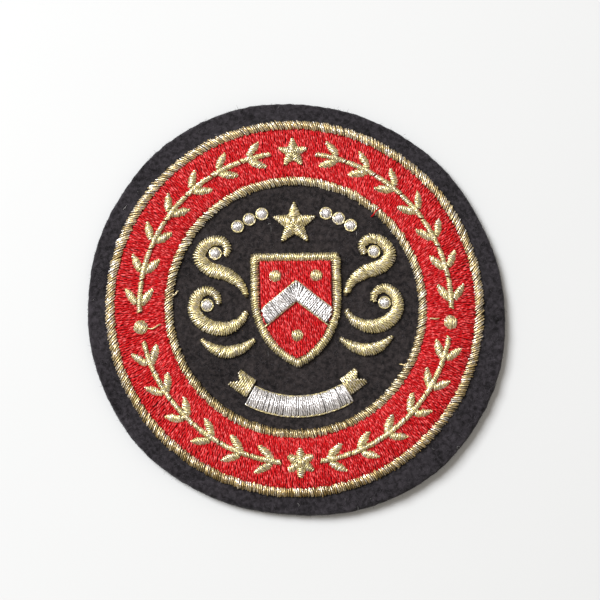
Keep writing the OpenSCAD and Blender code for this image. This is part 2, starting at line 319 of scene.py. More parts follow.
class Relief:
    """The upper surface of a CAD node, read by looking straight down on it.

    Grain is how far apart a line's first looks lie, at least fewest of them, and halvings how often
    an edge is looked at closer. A stitch is never under the shortest, and slack is how far beside
    its middle it may start. No column has more stitches than most.
    """

    grain = 0.11 * MM
    fewest = 9
    halvings = 6
    shortest = 0.25 * MM
    slack = 0.02 * MM
    most = 400

    def __init__(self, *nodes: str) -> None:
        """Reads the solids.

        Args:
            nodes: The CAD nodes to read.
        """
        points: list[Vector] = []
        faces: list[tuple[int, ...]] = []
        for node in nodes:
            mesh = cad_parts[node].data
            mesh.calc_loop_triangles()
            faces += [tuple(i + len(points) for i in t.vertices) for t in mesh.loop_triangles]
            points += [vert.co.copy() for vert in mesh.vertices]
        self.tree = BVHTree.FromPolygons(points, faces)
        self.corners = np.array(points)
        self.low = self.corners.min(axis=0)
        self.high = self.corners.max(axis=0)

    def height(self, x: float, y: float) -> float | None:
        """Height of the surface at a place, or None beside the solid."""
        hit = self.tree.ray_cast(Vector((x, y, self.high[2] + MM)), DOWN)[0]
        return None if hit is None else hit.z

    def heights(self, lines: Array) -> Array:
        """Heights of the surface along several lines, carried on where a line is beside the solid.

        Args:
            lines: Flat points, shape (n, m, 2).

        Returns:
            The heights, shape (n, m).
        """
        made = np.full(lines.shape[:2], self.low[2])
        for k, line in enumerate(lines):
            read = np.array([self.height(*spot) or np.nan for spot in line])
            known = np.flatnonzero(np.isfinite(read))
            if len(known):
                made[k] = np.interp(np.arange(len(line)), known, read[known])
        return made

    def within(self, spot: Array) -> bool:
        """Whether the solid lies under a flat point."""
        return self.height(*spot) is not None

    def edge(self, middle: Array, way: Array, inside: float, outside: float) -> float:
        """Finds where a line leaves the solid.

        Args:
            middle: A point of the line.
            way: Its direction.
            inside: Distance along it at which the solid is there.
            outside: Distance at which it isn't.

        Returns:
            The distance at which the solid ends.
        """
        for _ in range(self.halvings):
            half = (inside + outside) / 2
            if self.within(middle + way * half):
                inside = half
            else:
                outside = half
        return inside

    def stretches(self, middle: Array, way: Array, reach: float) -> list[tuple[float, float]]:
        """Finds every stretch of a line that runs over the solid.

        Args:
            middle: A point of the line.
            way: Its direction.
            reach: How far the line goes each way.

        Returns:
            Where each stretch starts and ends, as distances along the line.
        """
        spots = np.linspace(-reach, reach, max(self.fewest, int(2 * reach / self.grain)))
        seen = [self.within(middle + way * spot) for spot in spots]
        found: list[tuple[float, float]] = []
        start = spots[0] if seen[0] else None
        for k in range(1, len(spots)):
            if seen[k] and start is None:
                start = self.edge(middle, way, spots[k], spots[k - 1])
            elif start is not None and not seen[k]:
                found.append((start, self.edge(middle, way, spots[k - 1], spots[k])))
                start = None
        if start is not None:
            found.append((start, spots[-1]))
        return found

    def spans(self, middles: Array, ways: Array, reach: float, all_of: bool = False) -> Array:
        """Crosses the solid at each of several middles.

        Args:
            middles: Flat points, shape (n, 2).
            ways: Directions of the stitches there, shape (n, 2), or one for them all.
            reach: How far a stitch may go each way.
            all_of: Whether stretches beside the middle count too.

        Returns:
            Start and end of each stitch, shape (m, 2, 2).
        """
        made = []
        for middle, way in zip(middles, np.broadcast_to(ways, middles.shape)):
            for start, end in self.stretches(middle, way, reach):
                crossed = all_of or start <= self.slack and end >= -self.slack
                if crossed and end - start > self.shortest:
                    made.append((middle + way * start, middle + way * end))
        return np.array(made).reshape(-1, 2, 2)

    def middle_line(self, start: Array, heading: Array, pitch: float, reach: float) -> Array:
        """Walks along the middle of a column of stitching until it ends.

        Args:
            start: A flat point inside the column's end.
            heading: The way that the column runs from there.
            pitch: Length of a step.
            reach: Half of the column's greatest width, and a little more.

        Returns:
            The middle's points, a step apart, shape (n, 2).
        """
        line: list[Array] = []
        spot, way = np.array(start), unit(np.array(heading))
        while len(line) < self.most and self.within(spot):
            span = self.spans(spot[None], turned(way, 90), reach)
            if len(span) == 0:
                break
            middle = span[0].mean(axis=0)
            if line:
                way = unit(middle - line[-1])
            line.append(middle)
            spot = middle + way * pitch
        return np.array(line)

    def wall(self, reach: float) -> tuple[float, float]:
        """Where a ring starts and ends, going inwards from its outermost point on +X."""
        return self.stretches(np.array([self.high[0], 0.0]), np.array([-1.0, 0.0]), reach)[0]

    def depth(self, reach: float) -> float:
        """How far the solid runs down the middle line, from its highest point on."""
        start, end = self.stretches(np.array([0.0, self.high[1]]), np.array([0.0, -1.0]), reach)[0]
        return end - start

    def swept(self) -> tuple[Array, Array]:
        """Radius of each corner, and its angle anticlockwise from straight below the middle."""
        flat = self.corners[:, :2]
        return np.linalg.norm(flat, axis=1), np.degrees(np.arctan2(flat[:, 0], -flat[:, 1]))


class Landing(Enum):
    """Where the ends of a stitch go down."""

    BESIDE = "beside the padding, into what it lies on"
    THROUGH = "through the padding"


@dataclass(frozen=True)
class Hand:
    """How the stitches of a piece are laid.

    Width is a thread's width, uneven its spread, and flat its height as a share of it. Stray is how
    far the ends miss the edge, sway how far they slip sideways, sunk how deep a thread's middle lies
    in the solid, and heave how far that differs. Wave is how far a thread snakes to either side.
    Dip is how deep the ends go into what they land on, under how far they end below the solid, and
    tip how far they lie beyond the last point on top. Rim is the share of a stitch over which its
    height isn't read, limits are the least and the greatest width as shares of the usual one, and
    phases how far apart the patterns of two threads may start, in millimetres.
    """

    width: float = 0.40 * MM
    flat: float = 0.72
    sides: int = 6
    steps: int = 9
    stray: float = 0.05 * MM
    sway: float = 0.03 * MM
    sunk: float = 0.06 * MM
    heave: float = 0.02 * MM
    uneven: float = 0.06
    wave: float = 0.0
    wavelength: float = 1.9 * MM
    landing: Landing = Landing.BESIDE
    dip: float = 0.28 * MM
    under: float = 0.15 * MM
    tip: float = 0.05 * MM
    rim: float = 0.03
    limits: tuple[float, float] = (0.7, 1.3)
    phases: float = 90.0

    def feet(self, ends: Array, rise: Array, foot: float, beside: Relief | None) -> Array:
        """Heights at which the ends of the stitches go out of sight.

        Args:
            ends: Flat points, shape (n, 2).
            rise: Height of each stitch's body at that end.
            foot: Height of the solid's underside.
            beside: A neighbour that the ends may come down on.

        Returns:
            One height an end.
        """
        if self.landing is Landing.THROUGH:
            return rise - self.dip
        low = np.full(len(ends), foot - self.under)
        if beside is not None:
            over = np.array([beside.within(end) for end in ends])
            low = np.where(over, rise - self.dip, low)
        return low

    def sew(
        self,
        relief: Relief,
        spans: Array,
        name: str,
        mould: Callable[[Array], Array],
        beside: Relief | None = None,
    ) -> Bundle:
        """Lays one thread over the solid for each span.

        Args:
            relief: The solid that the stitches cover.
            spans: Start and end of each stitch, shape (n, 2, 2).
            name: Name of the piece, for its random numbers.
            mould: What the piece makes of points on the solid's surface.
            beside: A neighbour that the ends may come down on.

        Returns:
            The stitches as one bundle.
        """
        rng = draws(name)
        count = len(spans)
        way = unit(spans[:, 1] - spans[:, 0])
        side = turned(way, 90)
        stray = rng.normal(0, self.stray, (2, count, 1))
        sway = rng.normal(0, self.sway, (2, count, 1))
        start = spans[:, 0] - way * stray[0] + side * sway[0]
        end = spans[:, 1] + way * stray[1] + side * sway[1]
        share = (1 - np.cos(np.linspace(0, math.pi, self.steps - 1))) / 2
        flat = start[:, None] + (end - start)[:, None] * share[:, None]
        run = np.linalg.norm(end - start, axis=1, keepdims=True) * share
        snake = np.sin(2 * math.pi * (run / self.wavelength + rng.uniform(0, 1, (count, 1))))
        flat = flat + side[:, None] * (self.wave * snake * np.sin(share * math.pi))[..., None]
        read = np.clip(share, self.rim, 1 - self.rim)
        seat = spans[:, :1] + (spans[:, 1:] - spans[:, :1]) * read[:, None]
        foot = relief.low[2]
        rise = mould(np.concatenate([seat, relief.heights(seat)[..., None]], axis=-1))[..., 2]
        rise = rise - self.sunk + rng.normal(0, self.heave, (count, 1))
        body = np.concatenate([flat, rise[..., None]], axis=-1)
        tips = [start - way * self.tip, end + way * self.tip]
        feet = [self.feet(tip, rise[:, at], foot, beside)[:, None] for tip, at in zip(tips, (0, -1))]
        first, last = (np.concatenate(pair, axis=1)[:, None] for pair in zip(tips, feet))
        paths = np.concatenate([first, body, last], axis=1)
        widths = self.width * rng.normal(1, self.uneven, count).clip(*self.limits)
        tones, phases = rng.uniform(0, 1, count), rng.uniform(0, self.phases, count)
        return ThreadForm(self.sides, self.steps).lay(paths, widths, self.flat, tones, phases)


def padding(node: str, shrink: float, mould: Callable[[Array], Array]) -> Bundle:
    """The filling under the threads: the solid itself, drawn in a little.

    Args:
        node: The CAD node to copy.
        shrink: How far its walls and its top are drawn in.
        mould: What the piece makes of points on the solid's surface.

    Returns:
        The filling, with the second finish of its piece.
    """
    core = bmesh.new()
    core.from_mesh(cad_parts[node].data)
    bmesh.ops.remove_doubles(core, verts=core.verts, dist=1e-6)
    core.normal_update()
    for vert in core.verts:
        vert.co.x -= vert.normal.x * shrink
        vert.co.y -= vert.normal.y * shrink
        vert.co.z -= max(0.0, vert.normal.z) * shrink
    core.verts.index_update()
    points = mould(np.array([vert.co for vert in core.verts]))
    corners = np.array([vert.index for face in core.faces for vert in face.verts])
    sizes = np.array([len(face.verts) for face in core.faces])
    core.free()
    return Bundle(
        points,
        np.full(len(points), 0.5),
        corners,
        sizes,
        points[corners, :2] / MM,
        np.ones(len(sizes), int),
    )


def rows_of(line: Array, slant: float) -> tuple[Array, Array]:
    """Middles and directions of stitches across a line, whose points lie a stitch apart."""
    run = np.gradient(line, axis=0)
    return line, turned(unit(run), 90 + slant)


def bricks(spans: Array, length: float, name: str) -> Array:
    """Cuts long rows into fill stitches, staggered from row to row.

    Args:
        spans: The rows, side by side, shape (n, 2, 2).
        length: Length of a stitch.
        name: Name of the piece, for its random numbers.

    Returns:
        Start and end of each stitch, shape (m, 2, 2).
    """
    rng = draws(name + " bricks")
    stagger, jump, lead, shortest, slip = 4, 3, 0.12, 0.4 * MM, 0.12 * MM
    made = []
    for row, (start, end) in enumerate(spans):
        size = float(np.linalg.norm(end - start))
        first = length * ((row * jump % stagger) / stagger + lead)
        cuts = np.arange(first, size - shortest, length)
        cuts = cuts + rng.normal(0, slip, len(cuts))
        cuts = np.concatenate([[0.0], cuts[cuts > shortest], [size]])
        way = (end - start) / size
        made += [(start + way * a, start + way * b) for a, b in zip(cuts[:-1], cuts[1:])]
    return np.array(made)


class Recipe:
    """Adds nodes to a material or a group, each linked as it is made."""

    def __init__(self, tree: bpy.types.NodeTree) -> None:
        """Keeps the tree and empties it."""
        self.tree = tree
        tree.nodes.clear()

    @classmethod
    def material(cls, name: str) -> tuple[bpy.types.Material, "Recipe"]:
        """Starts a material.

        Args:
            name: The material's name.

        Returns:
            The material, and the recipe that fills it.
        """
        made = bpy.data.materials.new(name)
        made.use_nodes = True
        return made, cls(made.node_tree)

    def add(self, kind: str, wires: dict | None = None, **settings: object) -> bpy.types.Node:
        """Adds one node.

        Args:
            kind: The node's type, without its ShaderNode prefix.
            wires: Input name or index to a value, or to the socket that feeds it.
            settings: The node's own properties.

        Returns:
            The node.
        """
        prefix = "" if kind.startswith("NodeGroup") else "ShaderNode"
        node = self.tree.nodes.new(prefix + kind)
        for name, value in settings.items():
            setattr(node, name, value)
        for name, value in (wires or {}).items():
            if isinstance(value, bpy.types.NodeSocket):
                self.tree.links.new(value, node.inputs[name])
            else:
                node.inputs[name].default_value = value
        return node

    def math(self, operation: str, *values: object) -> bpy.types.NodeSocket:
        """A Math node's result."""
        node = self.add("Math", dict(enumerate(values)), operation=operation)
        return node.outputs[0]

    def mix(self, share: object, first: object, second: object, blend: str = "MIX") -> object:
        """Two colours mixed, at a share from 0 to 1."""
        wires = {0: share, 6: first, 7: second}
        return self.add("Mix", wires, data_type="RGBA", blend_type=blend).outputs[2]

    def spread(self, value: object, low: float, high: float, out: Sequence[float]) -> object:
        """A value carried from one range to another and kept inside it."""
        wires = {0: value, 1: low, 2: high, 3: out[0], 4: out[1]}
        return self.add("MapRange", wires).outputs[0]

    def noise(self, place: object, detail: float, scale: object = 1.0) -> bpy.types.NodeSocket:
        """A noise texture's value."""
        wires = {"Vector": place, "Scale": scale, "Detail": detail}
        return self.add("TexNoise", wires).outputs[0]

    def vector(self, operation: str, wires: dict) -> bpy.types.NodeSocket:
        """A Vector Math node's vector."""
        return self.add("VectorMath", wires, operation=operation).outputs[0]

    def attribute(self, name: str) -> bpy.types.NodeSocket:
        """An attribute's value."""
        return self.add("Attribute", attribute_name=name).outputs["Fac"]

    def surface(self, wires: dict) -> None:
        """Ends a material with its shader."""
        shader = self.add("BsdfPrincipled", wires)
        self.add("OutputMaterial", {0: shader.outputs[0]})


NUMBER = "NodeSocketFloat"
PLACE = "NodeSocketVector"
STRANDS = 2.0


def effect(name: str, inputs: dict[str, str], outputs: dict[str, str]) -> tuple:
    """Starts a group of nodes that several finishes share.

    Args:
        name: The group's name.
        inputs: Name of each input and the kind of its socket.
        outputs: Name of each output and the kind of its socket.

    Returns:
        The group, a recipe for it, and its input node.
    """
    group = bpy.data.node_groups.new(name, "ShaderNodeTree")
    recipe = Recipe(group)
    for title, kind in inputs.items():
        group.interface.new_socket(title, in_out="INPUT", socket_type=kind)
    for title, kind in outputs.items():
        group.interface.new_socket(title, in_out="OUTPUT", socket_type=kind)
    return group, recipe, recipe.add("NodeGroupInput")


@cache
def twist_effect() -> bpy.types.NodeTree:
    """Strands that are twisted round each other along a thread.

    Returns:
        A group that puts out the strands' height, with 0 in the grooves between them.
    """
    group, recipe, start = effect(
        "twisted_strands", {"Coil": PLACE, "Pitch": NUMBER, "Strands": NUMBER}, {"Height": NUMBER}
    )
    roundness = 0.7
    spot = recipe.add("SeparateXYZ", {0: start.outputs["Coil"]})
    along = recipe.math("DIVIDE", spot.outputs[0], start.outputs["Pitch"])
    phase = recipe.math("MULTIPLY_ADD", spot.outputs[1], start.outputs["Strands"], along)
    wave = recipe.math("ABSOLUTE", recipe.math("SINE", recipe.math("MULTIPLY", phase, math.pi)))
    recipe.add("NodeGroupOutput", {"Height": recipe.math("POWER", wave, roundness)})
    return group


@cache
def glint_effect() -> bpy.types.NodeTree:
    """Small facets along a thread, each as bright as chance has it.

    Returns:
        A group that puts out hard foil facets, soft patches of filaments, fine streaks along the
        strands, and a slow change along the thread, all 0 to 1, and the way that each facet faces.
    """
    group, recipe, start = effect(
        "glint",
        {"Coil": PLACE, "Tone": NUMBER, "Length": NUMBER, "Pitch": NUMBER, "Tilt": NUMBER},
        {"Facet": NUMBER, "Patch": NUMBER, "Streak": NUMBER, "Drift": NUMBER, "Normal": PLACE},
    )
    threads_apart, slow_rate, patch_rate, streak_rate, streaks_round = 61.0, 0.3, 0.9, 0.7, 9.0
    spot = recipe.add("SeparateXYZ", {0: start.outputs["Coil"]})
    along = recipe.math("DIVIDE", spot.outputs[0], start.outputs["Length"])
    tone = recipe.math("MULTIPLY", start.outputs["Tone"], threads_apart)
    around = recipe.math("MULTIPLY", spot.outputs[1], STRANDS)
    place = recipe.add("CombineXYZ", {0: along, 1: around, 2: tone}).outputs[0]
    cells = recipe.add("TexVoronoi", {"Vector": place, "Scale": 1.0}).outputs["Color"]
    facet = recipe.add("SeparateColor", {0: cells}).outputs[0]
    chance = recipe.vector("SUBTRACT", {0: cells, 1: (0.5, 0.5, 0.5)})
    tilt = recipe.vector("SCALE", {0: chance, "Scale": start.outputs["Tilt"]})
    straight = recipe.add("NewGeometry").outputs["Normal"]
    normal = recipe.vector("NORMALIZE", {0: recipe.vector("ADD", {0: straight, 1: tilt})})
    slow = recipe.add("CombineXYZ", {0: recipe.math("MULTIPLY", along, slow_rate), 2: tone}).outputs[0]
    coils = recipe.math("DIVIDE", spot.outputs[0], start.outputs["Pitch"])
    strand = recipe.math("MULTIPLY_ADD", spot.outputs[1], STRANDS, coils)
    soft = {0: recipe.math("MULTIPLY", along, patch_rate), 1: strand, 2: tone}
    streaks = recipe.math("MULTIPLY", strand, streaks_round)
    thin = {0: recipe.math("MULTIPLY", along, streak_rate), 1: streaks, 2: tone}
    made = {
        "Facet": facet,
        "Patch": recipe.noise(recipe.add("CombineXYZ", soft).outputs[0], 1.0),
        "Streak": recipe.noise(recipe.add("CombineXYZ", thin).outputs[0], 2.0),
        "Drift": recipe.noise(slow, 2.0),
        "Normal": normal,
    }
    recipe.add("NodeGroupOutput", made)
    return group


@cache
def nap_effect() -> bpy.types.NodeTree:
    """Matted fibres and slow blotches of a felt.

    Returns:
        A group that puts out the fibres' height and the blotches, higher where the felt is paler.
    """
    group, recipe, start = effect(
        "matted_fibres",
        {"Place": PLACE, "Fibres": NUMBER, "Blotches": NUMBER},
        {"Height": NUMBER, "Blotch": NUMBER},
    )
    bends, bend, tuft_share, strand_part, fine_part = 900.0, 1.2 * MM, 0.33, 0.35, 0.6
    place, fibres = start.outputs["Place"], start.outputs["Fibres"]
    bent = recipe.add("TexNoise", {"Vector": place, "Scale": bends, "Detail": 1.0}).outputs["Color"]
    warp = recipe.vector("SCALE", {0: bent, "Scale": bend})
    moved = recipe.vector("ADD", {0: place, 1: warp})
    wires = {"Vector": moved, "Scale": fibres, "Detail": 5.0, "Roughness": 0.7}
    fine = recipe.add("TexNoise", wires).outputs[0]
    edges = {"Vector": moved, "Scale": fibres}
    strands = recipe.add("TexVoronoi", edges, feature="DISTANCE_TO_EDGE").outputs[0]
    tufts = recipe.noise(moved, 3.0, recipe.math("MULTIPLY", fibres, tuft_share))
    height = recipe.math("MULTIPLY_ADD", fine, fine_part, tufts)
    height = recipe.math("MULTIPLY_ADD", strands, strand_part, height)
    blotch = recipe.noise(place, 3.0, start.outputs["Blotches"])
    recipe.add("NodeGroupOutput", {"Height": height, "Blotch": blotch})
    return group


def rgba(colour: Colour) -> tuple[float, float, float, float]:
    """A colour with full alpha."""
    return (*colour, 1.0)


def darkened(colour: Colour, share: float) -> Colour:
    """A colour with each of its parts at a share of what it was."""
    return tuple(share * part for part in colour)


class Lustre(Enum):
    """What catches the light on a thread."""

    FOIL = "flat facets of a foil that is wound round a core"
    FILAMENT = "soft streaks of silky filaments"


# Where the painted highlights start and end for each lustre: a level, and how far flashes lower it.
CATCH = {
    Lustre.FOIL: ((1.0, 1.0), (1.0, 0.4)),
    Lustre.FILAMENT: ((0.9, 0.45), (0.98, 0.2)),
}


@dataclass(frozen=True)
class ThreadFinish:
    """A shiny embroidery thread of twisted strands.

    Colour is the lit strand and deep the painted shade in the groove between strands. Flash is the
    colour of the painted highlights where the thread catches the light, which also tints its
    specular, and flashes their share. Tilt is how far the facets face apart, vary how far one thread
    is darker or paler than the next and how strongly painted light and shade count, and richness how
    much faster each colour darkens. Groove is where the height between two strands starts and ends
    to count as open thread.
    """

    name: str
    slot: str
    colour: Colour
    deep: Colour
    flash: Colour
    flashes: float
    metallic: float
    roughness: float
    pitch: float
    relief: float
    facet: float
    tilt: float = 0.0
    vary: float = 0.0
    richness: tuple[float, float, float] = (1.0, 1.0, 1.0)
    groove: tuple[float, float] = (0.1, 0.75)
    specular: float = 0.5
    lustre: Lustre = Lustre.FOIL

    @cache
    def material(self) -> bpy.types.Material:
        """Mixes the thread's material.

        Returns:
            A material that follows the UV map along each thread.
        """
        made, recipe = Recipe.material(self.name)
        coil = recipe.add("UVMap", uv_map=COIL).outputs[0]
        tone = recipe.attribute(TONE)
        wires = {"Coil": coil, "Pitch": self.pitch, "Strands": STRANDS}
        height = recipe.add("Group", wires, node_tree=twist_effect()).outputs["Height"]
        wires = {"Coil": coil, "Tone": tone, "Length": self.facet, "Pitch": self.pitch, "Tilt": self.tilt}
        glint = recipe.add("Group", wires, node_tree=glint_effect())
        # Painted shade: the grooves between strands take the darker deep colour.
        strand = recipe.spread(height, *self.groove, (0.0, 1.0))
        base = recipe.mix(strand, rgba(self.deep), rgba(self.colour))
        # Painted highlights: where a facet catches the light, the colour turns to the flash colour.
        caught = self.caught(recipe, glint)
        base = recipe.mix(recipe.math("MULTIPLY", caught, strand), base, rgba(self.flash))
        duller, glossier, grain_height = 0.12, 0.06, 0.35
        rough = (self.roughness + duller, self.roughness - glossier)
        grain = glint.outputs["Facet" if self.lustre is Lustre.FOIL else "Streak"]
        bumps = {
            "Height": recipe.math("MULTIPLY_ADD", grain, grain_height, height),
            "Strength": self.relief,
            "Distance": 0.06 * MM,
            "Normal": glint.outputs["Normal"],
        }
        recipe.surface(
            {
                "Base Color": self.shaded(recipe, base, glint.outputs["Drift"], tone),
                "Roughness": recipe.spread(glint.outputs["Facet"], 0.0, 1.0, rough),
                "Normal": recipe.add("Bump", bumps).outputs[0],
                "Metallic": self.metallic,
                "Specular IOR Level": self.specular,
                "Specular Tint": rgba(self.flash),
            }
        )
        return made

    def caught(self, recipe: Recipe, glint: bpy.types.Node) -> bpy.types.NodeSocket:
        """Finds where painted highlights go, where the thread catches the light.

        Args:
            recipe: The material's recipe.
            glint: Its facets, patches and streaks.

        Returns:
            A mask of the painted highlights, 1 where it is brightest.
        """
        streak_share = 0.4
        source = glint.outputs["Facet"]
        if self.lustre is Lustre.FILAMENT:
            streaks, patches = glint.outputs["Streak"], glint.outputs["Patch"]
            source = recipe.math("MULTIPLY_ADD", streaks, streak_share, patches)
        low, high = (level - drop * self.flashes for level, drop in CATCH[self.lustre])
        return recipe.spread(source, low, high, (0.0, 1.0))

    def shaded(self, recipe: Recipe, base: object, drift: object, tone: object) -> object:
        """Makes the colour darker or paler along and between threads, and by painted light and shade.

        Args:
            recipe: The material's recipe.
            base: The thread's colour.
            drift: The slow change along the thread.
            tone: The thread's own value.

        Returns:
            The colour with its shade.
        """
        drift_share, thread_share, changes, shades = 0.5, 0.3, (0.1, 0.7), (0.72, 1.12)
        drift = recipe.math("MULTIPLY_ADD", drift, drift_share, recipe.math("MULTIPLY", tone, thread_share))
        shade = recipe.spread(drift, *changes, shades)
        # Painted light and shade that a piece gives its threads is added to each thread's tone here.
        tone_and_painted_light = recipe.math("ADD", tone, recipe.attribute(PAINTED_LIGHT))
        dullest, brightest, reach = -0.5, 1.5, (1 - 2 * self.vary, 1 + 2 * self.vary)
        shade = recipe.math("MULTIPLY", shade, recipe.spread(tone_and_painted_light, dullest, brightest, reach))
        parts = {n: recipe.math("POWER", shade, power) for n, power in enumerate(self.richness)}
        return recipe.mix(1.0, base, recipe.add("CombineColor", parts).outputs[0], "MULTIPLY")

    def padded(self) -> list[bpy.types.Material]:
        """The thread's material, and that of the padding under it."""
        return [self.material(), PADDINGS[self.slot].material()]


@dataclass(frozen=True)
class PaddingFinish:
    """The dull filling that shows between threads: a real underlay, coloured dark as painted shade in the
    gaps.

    Dark is the colour of its hollows as a share of its own, which is painted shade, and grains how
    many fit in a metre.
    """

    name: str
    colour: Colour
    dark: float = 0.45
    grains: float = 3500.0
    relief: float = 0.6
    roughness: float = 0.8

    @cache
    def material(self) -> bpy.types.Material:
        """Mixes the filling's material.

        Returns:
            A material on Object coordinates.
        """
        made, recipe = Recipe.material(self.name)
        grain = recipe.noise(recipe.add("TexCoord").outputs["Object"], 3.0, self.grains)
        bump = recipe.add("Bump", {"Height": grain, "Strength": self.relief, "Distance": 0.08 * MM})
        # Painted shade: the grain's hollows take the darker colour.
        base = recipe.mix(grain, rgba(darkened(self.colour, self.dark)), rgba(self.colour))
        recipe.surface({"Base Color": base, "Roughness": self.roughness, "Normal": bump.outputs[0]})
        return made


@dataclass(frozen=True)
class FeltFinish:
    """Black wool felt with a fine matted nap, painted darker and browner inside the rings.

    Pale is the colour of the nap's highest fibres outside, and browner that inside, whose darkness is
    painted shade. Heights and spots are where the nap and its blotches start and end to be pale, and
    the shares say how much each of them counts.
    """

    name: str
    colour: Colour
    pale: Colour
    browner: Colour
    inside: float = 26 * MM
    outside: float = 33 * MM
    fibres: float = 3600.0
    blotches: float = 260.0
    relief: float = 0.9
    heights: tuple[float, float] = (0.68, 1.12)
    spots: tuple[float, float] = (0.3, 0.7)
    nap_share: float = 0.75
    spot_share: float = 0.25
    roughness: float = 0.95
    sheen: float = 0.12
    specular: float = 0.15

    @cache
    def material(self) -> bpy.types.Material:
        """Mixes the felt's material.

        Returns:
            A material on Object coordinates.
        """
        made, recipe = Recipe.material(self.name)
        place = recipe.add("TexCoord").outputs["Object"]
        wires = {"Place": place, "Fibres": self.fibres, "Blotches": self.blotches}
        nap = recipe.add("Group", wires, node_tree=nap_effect())
        high = recipe.spread(nap.outputs["Height"], *self.heights, (0.0, 1.0))
        blotch = recipe.spread(nap.outputs["Blotch"], *self.spots, (0.0, 1.0))
        blotch = recipe.math("MULTIPLY", blotch, self.spot_share)
        share = recipe.math("MULTIPLY_ADD", high, self.nap_share, blotch)
        # Painted shade: inside the rings the nap takes the darker, browner colour.
        radius = recipe.add("VectorMath", {0: place}, operation="LENGTH").outputs["Value"]
        margin = recipe.spread(radius, self.inside, self.outside, (0.0, 1.0))
        tone_and_painted_light = recipe.mix(margin, rgba(self.browner), rgba(self.pale))
        bumps = {"Height": nap.outputs["Height"], "Strength": self.relief, "Distance": 0.15 * MM}
        recipe.surface(
            {
                "Base Color": recipe.mix(share, rgba(self.colour), tone_and_painted_light),
                "Roughness": self.roughness,
                "Normal": recipe.add("Bump", bumps).outputs[0],
                "Sheen Weight": self.sheen,
                "Sheen Roughness": 0.5,
                "Specular IOR Level": self.specular,
            }
        )
        return made


@dataclass(frozen=True)
class FibreFinish:
    """A loose fibre or a speck of lint; dark is its darkest tone as a share of its colour."""

    name: str
    colour: Colour
    dark: float = 0.25
    roughness: float = 0.7

    @cache
    def material(self) -> bpy.types.Material:
        """Mixes the fibre's material.

        Returns:
            A material whose tone differs from one fibre to the next.
        """
        made, recipe = Recipe.material(self.name)
        dark = rgba(darkened(self.colour, self.dark))
        base = recipe.mix(recipe.attribute(TONE), dark, rgba(self.colour))
        recipe.surface({"Base Color": base, "Roughness": self.roughness})
        return made


RED = ThreadFinish(
    name="red_rayon",
    slot="red_thread",
    colour=(0.56, 0.011, 0.014),
    deep=(0.15, 0.0, 0.001),
    flash=(0.95, 0.14, 0.14),
    flashes=0.45,
    metallic=0.0,
    roughness=0.38,
    pitch=1.3,
    relief=1.0,
    facet=0.55,
    groove=(0.15, 0.85),
    specular=0.35,
    lustre=Lustre.FILAMENT,
)
GOLD = ThreadFinish(
    name="gold_foil",
    slot="gold_thread",
    colour=(0.8, 0.69, 0.36),
    deep=(0.24, 0.19, 0.06),
    flash=(1.0, 0.91, 0.75),
    flashes=0.5,
    metallic=0.8,
    roughness=0.32,
    pitch=1.0,
    relief=0.8,
    facet=0.32,
    tilt=0.3,
    vary=0.15,
)
# The outer ring's gold is the inner ring's thread, painted darker and browner; the darkness is painted
# shade.
SHADED_GOLD = ThreadFinish(
    name="shaded_gold_foil",
    slot="gold_thread",
    colour=(0.79, 0.61, 0.31),
    deep=(0.26, 0.175, 0.05),
    flash=(1.0, 0.91, 0.79),
    flashes=0.6,
    metallic=0.75,
    roughness=0.33,
    pitch=0.9,
    relief=0.5,
    facet=0.5,
    tilt=0.45,
    vary=0.26,
    richness=(1.0, 1.16, 1.6),
)
PALE_GOLD = replace(
    SHADED_GOLD,
    name="pale_gold_foil",
    colour=(0.89, 0.73, 0.41),
    deep=(0.26, 0.18, 0.06),
    flash=(1.0, 0.91, 0.75),
)
SILVER = replace(
    GOLD,
    name="silver_foil",
    slot="silver_thread",
    colour=(0.97, 0.93, 0.92),
    deep=(0.2, 0.17, 0.16),
    flash=(1.0, 0.98, 0.98),
    metallic=0.65,
    roughness=0.28,
    tilt=0.4,
)
# Each padding is much darker than its thread, as painted shade between the threads.
PADDINGS = {
    "red_thread": PaddingFinish("red_padding", (0.24, 0.002, 0.004)),
    "gold_thread": PaddingFinish("gold_padding", (0.1, 0.07, 0.025)),
    "silver_thread": PaddingFinish("silver_padding", (0.09, 0.085, 0.08)),
}
BLACK = FeltFinish(
    "black_wool",
    colour=(0.002, 0.0015, 0.002),
    pale=(0.047, 0.041, 0.048),
    browner=(0.0452, 0.0365, 0.0362),
)
FUZZ = FibreFinish("black_fibre", (0.085, 0.076, 0.088))
LINT = FibreFinish("pale_lint", (0.6, 0.58, 0.56))


def linked(name: str, data: bpy.types.ID) -> bpy.types.Object:
    """Puts a new object in the scene.

    Args:
        name: The object's name.
        data: Its mesh, lamp or camera.

    Returns:
        The object.
    """
    made = bpy.data.objects.new(name, data)
    bpy.context.scene.collection.objects.link(made)
    return made


def place(mesh: bpy.types.Mesh, slot: str, *nodes: str) -> bpy.types.Object:
    """Puts a finished mesh in the scene, on the part's one body.

    Args:
        mesh: The mesh, whose name the object takes.
        slot: The record's material slot; not used.
        nodes: The CAD nodes that the piece stands for.

    Returns:
        The object.
    """
    piece = linked(mesh.name, mesh)
    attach(piece, "root")
    if nodes:
        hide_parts(*nodes)
    log.info("%s: %d faces", piece.name, len(mesh.polygons))
    return piece


